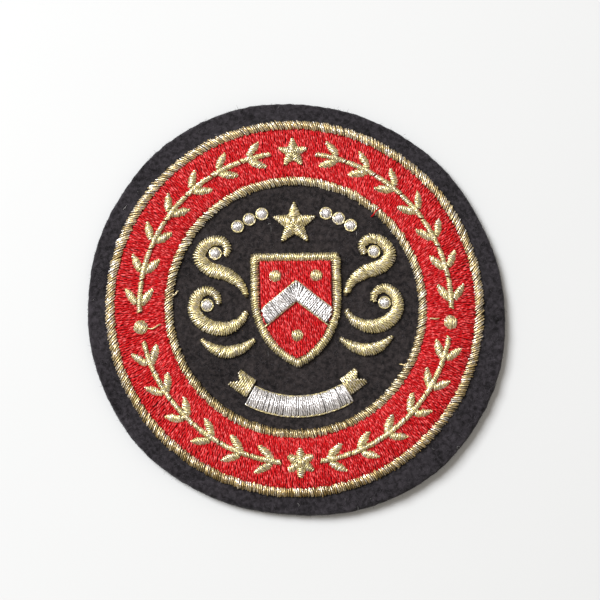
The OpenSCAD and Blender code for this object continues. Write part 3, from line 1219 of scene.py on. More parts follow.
@dataclass
class Embroidery:
    """One CAD node of stitching, its thread and the hand that lays it."""

    node: str
    finish: ThreadFinish
    hand: Hand = Hand()
    shrink: float = 0.1 * MM
    neighbour: str = ""

    def __post_init__(self) -> None:
        """Reads the node's surface, and its neighbour's where it has one."""
        self.relief = Relief(self.node)
        self.beside = Relief(self.neighbour) if self.neighbour else None

    def spans(self) -> Array:
        """The stitches' starts and ends; each kind of piece has its own."""
        raise NotImplementedError

    def lowered(self, points: Array) -> Array:
        """Heights that points on the solid's upper side get; most pieces keep them."""
        return points[..., 2]

    def moulded(self, points: Array) -> Array:
        """Shapes the upper side of the solid as the piece has it.

        Args:
            points: Any array of points on the solid's surface, shape (..., 3).

        Returns:
            The points, with those on the underside as they were.
        """
        made = points.copy()
        raised = points[..., 2] > self.relief.low[2] + SKIN
        made[..., 2] = np.where(raised, self.lowered(points), points[..., 2])
        return made

    def tone_and_painted_light(self, threads: Bundle) -> Bundle:
        """The threads with the piece's painted light and shade; most pieces have none."""
        return threads

    def build(self) -> bpy.types.Object:
        """Sews the piece and puts it in the scene.

        Returns:
            The piece, which replaces its CAD node.
        """
        name = f"{self.node}_stitches"
        threads = self.hand.sew(self.relief, self.spans(), name, self.moulded, self.beside)
        filling = padding(self.node, self.shrink, self.moulded)
        whole = Bundle.joined([self.tone_and_painted_light(threads), filling])
        return place(whole.mesh(name, self.finish.padded()), self.finish.slot, self.node)


@dataclass
class Ring(Embroidery):
    """A satin ring, which rises from the edge of the band and comes down to the felt.

    Its stitches lean more at the sides than at the top and bottom. Slope is a row for each point of
    its section: how far it lies from the band as a share of the ring's width, and its height as a
    share of the ring's. The painted light table has a row for each place round it: its angle from the
    top, and how much brighter the foil is painted there, as painted light at the top and upper left
    and painted shade at the bottom. Leans are the stitches' mean lean in degrees, and how much more
    they lean at the top and bottom, at the top alone and at the right. Easing is how strongly a lean
    sets them further apart, and reach how far across they may go, in widths of the ring.
    """

    pitch: float = 0.365 * MM
    overlap: float = 0.06 * MM
    short: float = 0.05 * MM
    slip: float = 0.035 * MM
    jitter: float = 2.8
    leans: tuple[float, float, float, float] = (28.0, -13.0, 8.0, -2.0)
    easing: float = 1.2
    reach: float = 1.6
    widest: float = 4 * MM
    neighbour: str = "band"
    # Painted light and shade round the ring, by degrees clockwise from the top.
    painted_light: Sequence[tuple[float, float]] = (
        (0, 0.05), (50, 0.1), (90, 0.0), (130, -0.12), (170, -0.55), (215, -0.5),
        (240, -0.15), (280, 0.22), (320, 0.16), (345, 0.05), (360, 0.05),
    )
    slope: Sequence[tuple[float, float]] = (
        (-0.25, 0.5), (0.0, 0.7), (0.2, 0.9), (0.45, 1.0), (0.7, 0.88), (0.9, 0.54), (1.0, 0.28),
    )

    def __post_init__(self) -> None:
        """Reads the ring's width and on which side of the band it lies."""
        super().__post_init__()
        start, end = self.relief.wall(self.widest)
        self.width = end - start
        self.middle_r = self.relief.high[0] - self.width / 2
        self.outward = self.middle_r > self.beside.high[0]

    def across(self, flat: Array) -> Array:
        """How far flat points lie across the ring, from 0 at the band to 1 at the felt."""
        off = np.linalg.norm(flat, axis=-1) - self.middle_r
        return (off if self.outward else -off) / self.width + 0.5

    def lowered(self, points: Array) -> Array:
        """Lowers the upper side to the ring's own slope.

        Args:
            points: Any array of points, shape (..., 3).

        Returns:
            Their heights.
        """
        floor, top = self.relief.low[2], self.relief.high[2]
        share = np.interp(self.across(points[..., :2]), *zip(*self.slope))
        return floor + (top - floor) * share - self.shrink

    def spans(self) -> Array:
        """Stitches all the way round, which reach over the edge of the band.

        Returns:
            Start and end of each stitch.
        """
        rng = draws(self.node + " lean")
        steps = self.stepped()
        clock = steps + rng.normal(0, math.degrees(self.slip / self.middle_r), len(steps))
        lean = self.lean(clock) + rng.normal(0, self.jitter, len(clock))
        middles = polar(self.middle_r, 90 - clock)
        spans = self.relief.spans(middles, turned(unit(middles), lean), self.reach * self.width)
        run = unit(spans[:, 1] - spans[:, 0])
        at_band, at_felt = (0, 1) if self.outward else (1, 0)
        out = -run if self.outward else run
        spans[:, at_band] += out * self.overlap
        spans[:, at_felt] += out * self.short
        return spans

    def tone_and_painted_light(self, threads: Bundle) -> Bundle:
        """Paints light and shade on the threads by their place round the ring, most so at the felt.

        Args:
            threads: The ring's stitches.

        Returns:
            The same stitches, with their painted light and shade.
        """
        flat = threads.points[:, :2]
        clock = np.degrees(np.arctan2(flat[:, 0], flat[:, 1])) % 360
        # Painted light and shade: brighter at the top and upper left, darker at the bottom, none at the
        # band.
        threads.painted_light = np.interp(clock, *zip(*self.painted_light)) * 2 * np.clip(self.across(flat), 0, 1)
        return threads

    def lean(self, clock: Array) -> Array:
        """Works out how far the stitches lean from straight across.

        Args:
            clock: Angles clockwise from the top.

        Returns:
            The lean at each, in degrees.
        """
        turn = np.radians(clock)
        mean, ends, top, right = self.leans
        return mean + ends * np.cos(2 * turn) + top * np.cos(turn) + right * np.sin(turn)

    def stepped(self) -> Array:
        """Places of the stitches, as far apart as their lean needs.

        Returns:
            Angles clockwise from the top.
        """
        looks = 3600
        fine = np.linspace(0, 360, looks + 1)
        need = self.pitch / np.cos(np.radians(self.lean(fine))) ** self.easing
        run = np.concatenate([[0], np.cumsum(1 / need[:-1])])
        run = run * (math.radians(360 / looks) * self.middle_r)
        return np.interp(np.arange(round(run[-1])) * run[-1] / round(run[-1]), run, fine)


@dataclass
class Band(Embroidery):
    """The wide ring of fill stitches, laid in rows from its inner edge to its outer one.

    Tuck is how far the rows go under the rings, sink how far the band's edges are drawn down, and
    slope how far from them that starts. The rows lean by lean degrees, and by swing more or less
    round the band.
    """

    pitch: float = 0.385 * MM
    stitch: float = 2.25 * MM
    tuck: float = 0.2 * MM
    sink: float = 0.26 * MM
    slope: float = 1.0 * MM
    swing: float = 12.0
    lean: float = -2.0
    widest: float = 14 * MM

    def __post_init__(self) -> None:
        """Reads the band's radii."""
        super().__post_init__()
        self.outer = self.relief.high[0]
        self.inner = self.outer - self.relief.wall(self.widest)[1]

    def lowered(self, points: Array) -> Array:
        """Draws the upper side down along the band's two edges.

        Args:
            points: Any array of points, shape (..., 3).

        Returns:
            Their heights.
        """
        radius = np.linalg.norm(points[..., :2], axis=-1)
        off = np.minimum(radius - self.inner, self.outer - radius)
        return points[..., 2] - self.sink * np.clip(1 - off / self.slope, 0, 1) ** 2

    def spans(self) -> Array:
        """Rows of staggered stitches all the way round.

        Returns:
            Start and end of each stitch.
        """
        inner, outer = self.inner, self.outer
        middle_r = (inner + outer) / 2
        count = round(2 * math.pi * middle_r / self.pitch)
        clock = np.arange(count) * 360 / count
        lean = self.swing * np.sin(np.radians(2 * clock)) + self.lean
        middles = polar(middle_r, 90 - clock)
        ways = turned(unit(middles), lean)
        along = (middles * ways).sum(axis=1)
        rows = []
        for radius in (inner - self.tuck, outer + self.tuck):
            reach = np.sqrt(along**2 + radius**2 - middle_r**2) - along
            rows.append(middles + ways * reach[:, None])
        return bricks(np.stack(rows, axis=1), self.stitch, self.node)


@dataclass
class Dot(Embroidery):
    """A round satin dot of parallel stitches, the outermost of them an inset inside its rim."""

    pitch: float = 0.31 * MM
    inset: float = 0.17 * MM
    heading: float = 80.0

    def spans(self) -> Array:
        """Parallel stitches across the dot.

        Returns:
            Start and end of each stitch.
        """
        middle = (self.relief.low[:2] + self.relief.high[:2]) / 2
        radius = (self.relief.high[0] - self.relief.low[0]) / 2
        way = polar(1.0, self.heading)
        rim = radius - self.inset
        offsets = np.linspace(-rim, rim, math.ceil(2 * rim / self.pitch) + 1)
        return self.relief.spans(middle + offsets[:, None] * turned(way, 90), way, radius)


@dataclass
class Star(Embroidery):
    """A five-pointed satin star, each arm stitched crosswise.

    Blunt is how far the first stitch lies from an arm's tip, core how near the last one comes to
    the middle, and lap how far the arms' stitches reach over each other.
    """

    pitch: float = 0.37 * MM
    arms: int = 5
    blunt: float = 0.25 * MM
    core: float = 0.02 * MM
    lap: float = 0.05 * MM

    def spans(self) -> Array:
        """Stitches across each arm, from its tip to the star's middle.

        Returns:
            Start and end of each stitch.
        """
        peak = self.relief.corners[self.relief.corners[:, 2].argmax()][:2]
        radius = self.relief.high[1] - peak[1]
        made = []
        for arm in range(self.arms):
            way = polar(1.0, 90 + 360 * arm / self.arms)
            across = turned(way, 90)
            steps = np.arange(radius - self.blunt, self.core, -self.pitch)
            spans = self.relief.spans(peak + steps[:, None] * way, across, radius)
            offsets = ((spans - peak) * way).sum(axis=2)
            limit = offsets * math.tan(math.pi / self.arms) + self.lap
            sides = ((spans - peak) * across).sum(axis=2)
            sides = np.clip(sides, -limit, limit)
            made.append(peak + offsets[..., None] * way + sides[..., None] * across)
        return np.concatenate(made)


@dataclass
class Sprig(Embroidery):
    """A stem on the band's middle circle with two leaves that fork from it.

    Slant is the lean of the leaves' stitches, and splay the angle between a leaf and the stem. Fork
    is where the stitches of a leaf start, and blunt how far from its tip they end.
    """

    pitch: float = 0.37 * MM
    leaf: float = 4.4 * MM
    leaf_reach: float = 0.95 * MM
    stem_reach: float = 0.5 * MM
    slant: float = 28.0
    stem_slant: float = 30.0
    splay: float = 35.0
    fork: float = 0.45 * MM
    blunt: float = 0.15 * MM
    middle_r: float = (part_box("outer_ring")[1].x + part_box("inner_ring")[1].x) / 2 - OUTER_RING_WIDTH / 2

    def spans(self) -> Array:
        """Stitches across the stem, and over it across both leaves.

        Returns:
            Start and end of each stitch.
        """
        corners = self.relief.corners[:, :2]
        radii = np.linalg.norm(corners, axis=1)
        tips = [corners[radii.argmax()], corners[radii.argmin()]]
        facing = unit(corners.mean(axis=0))
        turns = np.degrees(np.arctan2(corners @ turned(facing, 90), corners @ facing))
        heading = math.degrees(math.atan2(facing[1], facing[0]))
        tip_turn = np.degrees(np.arctan2(tips[0] @ turned(facing, 90), tips[0] @ facing))
        sign = 1 if abs(turns.max() - tip_turn) < abs(turns.min() - tip_turn) else -1
        step = math.degrees(self.pitch / self.middle_r)
        stem = np.arange(turns.min() + step / 2, turns.max(), step) + heading
        middles = polar(self.middle_r, stem)
        ways = turned(unit(middles), -self.stem_slant * sign)
        made = [self.relief.spans(middles, ways, self.stem_reach)]
        for side, tip in zip((-1, 1), tips):
            along = turned(unit(tip), sign * 90 + side * sign * self.splay)
            start = tip - along * self.leaf
            steps = np.arange(self.fork, self.leaf - self.blunt, self.pitch)
            way = turned(along, 90 + side * sign * self.slant)
            made.append(self.relief.spans(start + steps[:, None] * along, way, self.leaf_reach))
        return np.concatenate(made)


@dataclass
class Rosette(Embroidery):
    """Six satin petals round a dot.

    Turn is the angle of the first petal, heart_r the dot's radius, reach half of the greatest width
    of a petal, slant the way of its stitches, and blunt how far from its tip they end.
    """

    pitch: float = 0.36 * MM
    petals: int = 6
    turn: float = 30.0
    blunt: float = 0.1 * MM
    heart_r: float = 0.8 * MM
    reach: float = 0.75 * MM
    slant: float = 75.0

    def spans(self) -> Array:
        """Stitches across each petal, then across the dot.

        Returns:
            Start and end of each stitch.
        """
        middle = (self.relief.low[:2] + self.relief.high[:2]) / 2
        radius = (self.relief.high[1] - self.relief.low[1]) / 2
        made = []
        for petal in range(self.petals):
            way = polar(1.0, self.turn + 360 * petal / self.petals)
            steps = np.arange(self.heart_r, radius - self.blunt, self.pitch)
            middles = middle + steps[:, None] * way
            made.append(self.relief.spans(middles, turned(way, self.slant), self.reach))
        heart = middle + (np.arange(-1, 2) * self.pitch)[:, None] * polar(1.0, 0.0)
        made.append(self.relief.spans(heart, polar(1.0, 90.0), self.reach))
        return np.concatenate(made)


@dataclass
class Stroke(Embroidery):
    """A satin column whose middle line is found by walking along the solid.

    Start is a point inside its end, heading the way that it sets out there, and reach half of its
    greatest width and a little more. Room is by how much further a leaning stitch may go.
    """

    start: tuple[float, float] = (0.0, 0.0)
    heading: tuple[float, float] = (1.0, 0.0)
    pitch: float = 0.37 * MM
    slant: float = 22.0
    reach: float = 1.7 * MM
    room: float = 1.2

    def spans(self) -> Array:
        """Stitches across the column.

        Returns:
            Start and end of each stitch.
        """
        start, heading = np.array(self.start), np.array(self.heading)
        line = self.relief.middle_line(start, heading, self.pitch, self.reach)
        middles, ways = rows_of(line, self.slant)
        return self.relief.spans(middles, ways, self.room * self.reach)


def curl(node: str, left: bool, lean: tuple[float, float]) -> Stroke:
    """A scroll or plume beside the shield.

    Args:
        node: The CAD node.
        left: Whether it lies left of the shield.
        lean: The way that it sets out on the right-hand side.

    Returns:
        Its satin column, which starts at its end beside the shield.
    """
    end_depth, step_in = 0.35 * MM, 0.3 * MM
    corners = Relief(node).corners
    side = -1 if left else 1
    near = side * (corners[:, 0] * side).min()
    end = corners[abs(corners[:, 0] - near) < end_depth].mean(axis=0)
    heading = (side * lean[0], lean[1])
    start = end[:2] + step_in * unit(np.array(heading))
    return Stroke(node, GOLD, start=tuple(start), heading=heading, slant=Stroke.slant * side)


@dataclass
class ShieldBorder(Embroidery):
    """The satin line round the shield: a flat top, straight sides, and two arcs to the point.

    Straight is the share of the sides above the arcs, point how far the rounded tip lies beyond
    where the arcs meet, and end how far the first and the last stitch of a line lie from its ends.
    """

    pitch: float = 0.40 * MM
    width: float = 1.5 * MM
    straight: float = 0.4
    point: float = 0.25 * MM
    end: float = 0.1 * MM
    slant: float = 15.0
    reach: float = 0.72
    arc_points: int = 40

    def spans(self) -> Array:
        """Stitches across the line, all the way round.

        Returns:
            Start and end of each stitch.
        """
        low, high = self.relief.low, self.relief.high
        half = high[0]
        turn = high[1] - self.straight * (high[1] - low[1] - self.point)
        drop = turn - low[1] - self.point
        past = (drop**2 + half**2) / (2 * half) - half
        inset = self.width / 2
        radius = past + half - inset
        reach = math.degrees(math.acos(past / radius))
        inner = half - inset
        top = high[1] - inset
        upper = np.array([[0.0, top], [-inner, top]])
        side = np.array([[-inner, top], [-inner, turn]])
        arc = polar(radius, 180 + np.linspace(0, reach, self.arc_points)) + np.array([past, turn])
        made = []
        for line in (upper, side, arc):
            for mirror in (1, -1):
                points = self.spaced(line) * np.array([mirror, 1])
                middles, ways = rows_of(points, self.slant * mirror)
                made.append(self.relief.spans(middles, ways, self.reach * self.width))
        return np.concatenate(made)

    def spaced(self, line: Array) -> Array:
        """Points a stitch apart along a line.

        Args:
            line: Its corners, shape (n, 2).

        Returns:
            The points, shape (m, 2).
        """
        run = np.concatenate([[0], np.cumsum(np.linalg.norm(np.diff(line, axis=0), axis=1))])
        steps = np.linspace(self.end, run[-1] - self.end, max(3, round(run[-1] / self.pitch)))
        return np.stack([np.interp(steps, run, line[:, k]) for k in (0, 1)], axis=-1)


@dataclass
class ShieldField(Embroidery):
    """The fill inside the shield, in upright rows.

    Clear is how much narrower the rows are than the field, below how far under the top edge each
    row is looked for, and reach the longest that a row can be.
    """

    pitch: float = 0.385 * MM
    stitch: float = 2.5 * MM
    clear: float = 0.2 * MM
    below: float = 2 * MM
    reach: float = 22 * MM

    def spans(self) -> Array:
        """Upright rows of staggered stitches.

        Returns:
            Start and end of each stitch.
        """
        low, high = self.relief.low, self.relief.high
        count = int((high[0] - low[0] - self.clear) / self.pitch)
        offsets = (np.arange(count) - (count - 1) / 2) * self.pitch
        middles = np.stack([offsets, np.full(count, high[1] - self.below)], axis=-1)
        rows = self.relief.spans(middles, np.array([0.0, -1.0]), self.reach)
        return bricks(rows, self.stitch, self.node)


@dataclass
class Chevron(Embroidery):
    """Two satin arms that meet in a point.

    Fall is how far they drop for each unit of width, end how far from an arm's end the last stitch
    lies, and bend how far from the middle the stitches have turned across the arm.
    """

    pitch: float = 0.38 * MM
    fall: float = 0.8
    end: float = 0.1 * MM
    bend: float = 1.2 * MM
    reach: float = 3.2 * MM
    deepest: float = 6 * MM

    def spans(self) -> Array:
        """Stitches across both arms, turning upright where they meet.

        Returns:
            Start and end of each stitch.
        """
        high = self.relief.high
        deep = self.relief.depth(self.deepest)
        half = high[0] - self.end
        step = self.pitch / math.hypot(1, self.fall)
        count = 2 * int(half / step) + 1
        x = (np.arange(count) - (count - 1) / 2) * step
        middles = np.stack([x, high[1] - deep / 2 - self.fall * abs(x)], axis=-1)
        tilt = math.degrees(math.atan(self.fall))
        turn = np.clip(x / self.bend, -1, 1) * tilt
        return self.relief.spans(middles, polar(1.0, 90 - turn), self.reach)


@dataclass
class Ribbon(Embroidery):
    """A bent satin ribbon, stitched from its inner edge to its outer one, and a little beyond."""

    pitch: float = 0.40 * MM
    beyond: float = 0.3 * MM

    def spans(self) -> Array:
        """Stitches across the ribbon, past any notch in it.

        Returns:
            Start and end of each stitch.
        """
        radii, turns = self.relief.swept()
        middle_r = (radii.min() + radii.max()) / 2
        reach = (radii.max() - radii.min()) / 2 + self.beyond
        step = math.degrees(self.pitch / middle_r)
        angles = np.arange(turns.min() + step / 2, turns.max(), step)
        middles = polar(middle_r, FOOT + angles)
        return self.relief.spans(middles, unit(middles), reach, all_of=True)


@dataclass
class Felt:
    """The felt disc: a spun section, drawn out to the hand-cut outline and roughened.

    Soft is the rounding of its edges, fray how far the cut stands out, and under_ring how far the
    inner ring covers the felt. Waves is a row for each kind of unevenness of its face: its name, its
    wavelength and its height, both in millimetres, and cut is such a row for its edge. Beside the
    rings the felt swells by swell and puckers by pucker, both in millimetres. Back share is how
    much of the unevenness the underside has.
    """

    node: str = "felt"
    turns: int = 720
    nominal: float = 40 * MM
    thick: float = 2 * MM
    soft: float = 0.6 * MM
    fray: float = 0.12 * MM
    waves: Sequence[tuple[str, float, float]] = (
        ("felt hills", 9, 0.05),
        ("felt lumps", 2.2, 0.035),
        ("felt grain", 0.9, 0.022),
    )
    cut: tuple[str, float, float] = ("felt cut", 1.6, 0.035)
    swell: float = 0.1
    swell_reach: float = 0.9 * MM
    pucker: float = 0.06
    pucker_wave: float = 1.5 * MM
    under_ring: float = 1.5 * MM
    back_share: float = 0.2

    def __post_init__(self) -> None:
        """Reads the outline and the lift of the margin from the frame."""
        self.relief = Relief(self.node)
        self.ring_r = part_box("outer_ring")[1].x
        self.hole_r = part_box("inner_ring")[1].x - self.under_ring
        self.angles = np.arange(0, 360, 1.0)
        self.radii = self.softened([self.rim(angle) for angle in self.angles]) + self.fray
        self.lifts = self.softened([self.lift(a, r) for a, r in zip(self.angles, self.radii)])

    def softened(self, values: Sequence[float]) -> Array:
        """Values round the rim, with the corners between the solid's facets taken off.

        Args:
            values: One value a degree.

        Returns:
            The values, each averaged with its neighbours.
        """
        reach, spread = 6, 2.6
        weights = np.exp(-((np.arange(-reach, reach + 1) / spread) ** 2))
        wrapped = np.concatenate([values[-reach:], values, values[:reach]])
        return np.convolve(wrapped, weights / weights.sum(), mode="valid")

    def rim(self, angle: float) -> float:
        """Finds the felt's edge.

        Args:
            angle: An angle anticlockwise from +X.

        Returns:
            The edge's radius there.
        """
        above_bevel = 0.65 * self.thick
        way = polar(1.0, angle)
        start = Vector((*(way * 2 * self.nominal), above_bevel))
        hit = self.relief.tree.ray_cast(start, Vector((*-way, 0.0)))[0]
        return math.hypot(hit.x, hit.y)

    def lift(self, angle: float, radius: float) -> float:
        """Finds how far the underside is off the table near the edge.

        Args:
            angle: An angle anticlockwise from +X.
            radius: The edge's radius there.

        Returns:
            The height of the underside.
        """
        inside = self.soft + 0.1 * MM
        spot = polar(radius - inside, angle)
        hit = self.relief.tree.ray_cast(Vector((*spot, -MM)), UP)[0]
        return max(0.0, hit.z)

    def at(self, angle: Array | float) -> tuple[Array | float, Array | float]:
        """Radius of the cut edge and lift of the underside there, at one angle or at several."""
        return tuple(np.interp(angle, self.angles, row, period=360) for row in (self.radii, self.lifts))

    def section(self) -> list[tuple[float, float]]:
        """Draws the section that is spun.

        Returns:
            Radius and height of its points, from the middle of the top to that of the underside.
        """
        face_step, margin_step, back_step, before = 0.42 * MM, 0.28 * MM, 1.4 * MM, 0.5 * MM
        covered, short, bend = 7, 0.3 * MM, np.radians(np.linspace(90, 0, 6))
        edge, upper = self.nominal - self.soft, self.thick - self.soft
        spots = [
            *np.arange(0, self.hole_r, face_step),
            *np.linspace(self.hole_r, self.ring_r - short, covered),
            *np.arange(self.ring_r, edge, margin_step),
        ]
        top = [(r, self.thick) for r in spots]
        curve = [(edge + self.soft * math.cos(a), upper + self.soft * math.sin(a)) for a in bend]
        wall = [(self.nominal, self.thick / 2)]
        under = [(edge + self.soft * math.cos(a), self.soft - self.soft * math.sin(a)) for a in bend[::-1]]
        base = [(r, 0.0) for r in np.arange(edge - before, before, -back_step)]
        return top + curve + wall + under + base + [(0.0, 0.0)]

    def shape(self, points: Array) -> Array:
        """Carries spun points to the real outline and roughens the surface.

        Args:
            points: The spun disc's points, shape (n, 3).

        Returns:
            The felt's points.
        """
        radius = np.linalg.norm(points[:, :2], axis=1)
        angle = np.degrees(np.arctan2(points[:, 1], points[:, 0])) % 360
        rim, lift = self.at(angle)
        beyond = 1.2
        share = np.clip((radius - self.ring_r) / (self.nominal - self.ring_r), 0, beyond)
        upper = points[:, 2] > self.thick / 2
        made = points.copy()
        outward = points[:, :2] / np.maximum(radius, TINY)[:, None]
        drawn = self.ring_r + share * (rim - self.ring_r)
        drawn = np.where(radius > self.ring_r, drawn, radius)
        cut, *rows = (
            Ripple(name, size * MM)(points) * rise * MM for name, size, rise in (self.cut, *self.waves)
        )
        made[:, :2] = outward * (drawn + cut * np.clip(share, 0, 1) ** 4)[:, None]
        rough = sum(rows)
        for ring in (self.ring_r, self.hole_r):
            pull = np.exp(-((np.abs(radius - ring) / self.swell_reach) ** 2))
            round_ring = np.c_[outward * ring, np.zeros(len(points))]
            folds = Ripple(f"puckers {ring:.4f}", self.pucker_wave)(round_ring)
            rough += pull * (self.swell + self.pucker * folds) * MM
        back = np.abs(rough) * self.back_share
        made[:, 2] += np.where(upper, rough, back) + lift * np.clip(share, 0, 1) ** 2
        return made

    def build(self) -> bpy.types.Object:
        """Spins the section and shapes it.

        Returns:
            The felt.
        """
        disc = bmesh.new()
        verts = [disc.verts.new((radius, 0.0, height)) for radius, height in self.section()]
        edges = [disc.edges.new(pair) for pair in zip(verts[:-1], verts[1:])]
        bmesh.ops.spin(
            disc,
            geom=verts + edges,
            cent=(0, 0, 0),
            axis=(0, 0, 1),
            angle=2 * math.pi,
            steps=self.turns,
            use_merge=True,
        )
        bmesh.ops.remove_doubles(disc, verts=disc.verts, dist=1e-7)
        bmesh.ops.recalc_face_normals(disc, faces=disc.faces)
        mesh = bpy.data.meshes.new("felt_disc")
        disc.to_mesh(mesh)
        disc.free()
        points = np.zeros(3 * len(mesh.vertices), np.float32)
        mesh.vertices.foreach_get("co", points)
        shaped = self.shape(points.reshape(-1, 3).astype(float))
        mesh.vertices.foreach_set("co", shaped.astype(np.float32).ravel())
        mesh.polygons.foreach_set("use_smooth", np.ones(len(mesh.polygons), bool))
        mesh.materials.append(BLACK.material())
        mesh.update()
        piece = place(mesh, "black_felt", self.node)
        return piece


@dataclass(frozen=True)
class Tuft:
    """A kind of loose fibre: how many, how long, how curled, and how far it stands up.

    Root is how deep a fibre starts in the felt, droop how far over its arch its end comes down, and
    limits are the least and the greatest thickness as shares of the usual one.
    """

    count: int
    length: tuple[float, float]
    curl: float
    rise: tuple[float, float]
    thick: float
    finish: int = 0
    steps: int = 4
    root: float = 0.02 * MM
    droop: float = 0.85
    limits: tuple[float, float] = (0.7, 1.3)

    def grow(self, roots: Array, ways: Array, rng: np.random.Generator) -> Bundle:
        """Grows a fibre from each root.

        Args:
            roots: Points on the felt, shape (n, 3).
            ways: The way that each fibre sets out, shape (n, 2).
            rng: The piece's random numbers.

        Returns:
            The fibres as one bundle.
        """
        count = len(roots)
        length = rng.uniform(*self.length, count)
        bend = rng.normal(0, self.curl, count)
        rise = rng.uniform(*self.rise, count)
        line = [roots - np.array([0, 0, self.root])]
        spot = roots
        for step in range(1, self.steps + 1):
            share = step / self.steps
            spot = spot.copy()
            spot[:, :2] += turned(ways, bend * share) * (length / self.steps)[:, None]
            spot[:, 2] = roots[:, 2] + math.sin(share * math.pi * self.droop) * rise
            line.append(spot)
        widths = self.thick * rng.uniform(*self.limits, count)
        form = ThreadForm(3, self.steps)
        tones = rng.uniform(0, 1, count)
        made = form.lay(np.stack(line, axis=1), widths, 1.0, tones, np.zeros(count), tip=0.4)
        made.finishes += self.finish
        return made


@dataclass
class Nap:
    """Loose fibres on the bare felt and along its edge, and some pale lint.

    Inset is how far from the cut edge the fibres of the face start, sunk how far inside it those of
    the edge do, band where on the edge they stand as shares of its height, and fan how far they
    lean to the sides, in degrees.
    """

    felt: Felt
    flat: Tuft = Tuft(5600, (0.3 * MM, 1.2 * MM), 70.0, (0.01 * MM, 0.12 * MM), 0.032 * MM)
    edge: Tuft = Tuft(2400, (0.1 * MM, 0.35 * MM), 60.0, (-0.15 * MM, 0.15 * MM), 0.028 * MM, steps=3)
    lint: Tuft = Tuft(26, (0.3 * MM, 1.3 * MM), 110.0, (0.05 * MM, 0.3 * MM), 0.05 * MM, finish=1)
    inset: float = 0.2 * MM
    sunk: float = 0.06 * MM
    band: tuple[float, float] = (0.2, 0.95)
    fan: float = 50.0

    def bare(self, count: int, rng: np.random.Generator) -> Array:
        """Places on bare felt.

        Args:
            count: How many to find.
            rng: The piece's random numbers.

        Returns:
            Points on the felt's upper surface, shape (count, 3).
        """
        covered = Relief(*[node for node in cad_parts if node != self.felt.node])
        spots: list[tuple[float, float, float]] = []
        while len(spots) < count:
            angle = rng.uniform(0, 360)
            radius = (self.felt.at(angle)[0] - self.inset) * math.sqrt(rng.uniform(0, 1))
            spot = polar(radius, angle)
            height = self.felt.relief.height(*spot)
            if height is not None and not covered.within(spot):
                spots.append((spot[0], spot[1], height))
        return np.array(spots)

    def rim(self, count: int, rng: np.random.Generator) -> Array:
        """Places on the felt's edge.

        Args:
            count: How many to find.
            rng: The piece's random numbers.

        Returns:
            Points on the cut edge, shape (count, 3).
        """
        angles = rng.uniform(0, 360, count)
        radii, lifts = self.felt.at(angles)
        heights = lifts + rng.uniform(*self.band, count) * self.felt.thick
        return np.c_[polar(radii - self.sunk, angles), heights]

    def build(self) -> bpy.types.Object:
        """Grows the fibres.

        Returns:
            The fibres as one piece.
        """
        rng = draws("nap")
        tufts = []
        for tuft in (self.flat, self.lint):
            ways = polar(1.0, rng.uniform(0, 360, tuft.count))
            tufts.append(tuft.grow(self.bare(tuft.count, rng), ways, rng))
        roots = self.rim(self.edge.count, rng)
        ways = turned(unit(roots[:, :2]), rng.normal(0, self.fan, len(roots)))
        tufts.append(self.edge.grow(roots, ways, rng))
        mesh = Bundle.joined(tufts).mesh("felt_nap", [FUZZ.material(), LINT.material()])
        return place(mesh, "black_felt")


@dataclass
class Couching:
    """Single gold threads laid round the silver stitching.

    Away is how far a thread lies from what it goes round, the heights are those of its middle over
    the foot of a dot, of the ribbon and of the chevron, and past is how far it goes round a dot.
    Drop lowers the chevron's threads by a share of away, and wander is how unsteady a thread is.
    """

    width: float = 0.36 * MM
    flat: float = 0.8
    away: float = 0.15 * MM
    steps: int = 40
    dot_height: float = 0.16 * MM
    ribbon_height: float = 0.18 * MM
    chevron_height: float = 0.2 * MM
    past: float = 365.0
    drop: float = 0.3
    wander: float = 0.018 * MM

    def round_dot(self, node: str) -> Array:
        """A thread round a silver dot.

        Args:
            node: The dot.

        Returns:
            The thread's middle line, shape (steps + 1, 3).
        """
        low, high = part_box(node)
        middle = np.array([(low.x + high.x) / 2, (low.y + high.y) / 2])
        turn = np.linspace(0, self.past, self.steps + 1)
        flat = middle + polar((high.x - low.x) / 2 + self.away, turn)
        return np.c_[flat, np.full(len(flat), low.z + self.dot_height)]

    def along_ribbon(self, node: str, inner: bool) -> Array:
        """A thread along one edge of the ribbon.

        Args:
            node: The ribbon.
            inner: Whether it runs along the inner edge.

        Returns:
            The thread's middle line, shape (steps + 1, 3).
        """
        relief = Relief(node)
        radii, turns = relief.swept()
        radius = radii.min() - self.away if inner else radii.max() + self.away
        line = polar(radius, FOOT + np.linspace(turns.min(), turns.max(), self.steps + 1))
        return np.c_[line, np.full(len(line), relief.low[2] + self.ribbon_height)]

    def along_chevron(self, node: str, upper: bool) -> Array:
        """A thread along one edge of the chevron.

        Args:
            node: The chevron.
            upper: Whether it runs along the upper edge.

        Returns:
            The thread's middle line, shape (steps + 1, 3).
        """
        relief = Relief(node)
        deep = -self.away if upper else relief.depth(Chevron.deepest) + self.away
        half = relief.high[0] - self.away
        x = np.linspace(-half, half, self.steps + 1)
        line = np.c_[x, relief.high[1] - deep - self.away * self.drop - Chevron.fall * abs(x)]
        return np.c_[line, np.full(len(line), relief.low[2] + self.chevron_height)]

    def build(self) -> bpy.types.Object:
        """Lays the threads.

        Returns:
            The outlines as one piece.
        """
        rng = draws("outlines")
        dots = sorted(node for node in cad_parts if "pearl" in node)
        lines = [self.round_dot(node) for node in dots]
        lines += [self.along_ribbon("ribbon", inner) for inner in (True, False)]
        lines += [self.along_chevron("chevron", upper) for upper in (True, False)]
        paths = np.array(lines)
        paths[..., :2] += rng.normal(0, self.wander, paths[..., :2].shape)
        threads = single(paths, self.width, self.flat, rng)
        return place(threads.mesh("gold_outlines", [GOLD.material()]), GOLD.slot)


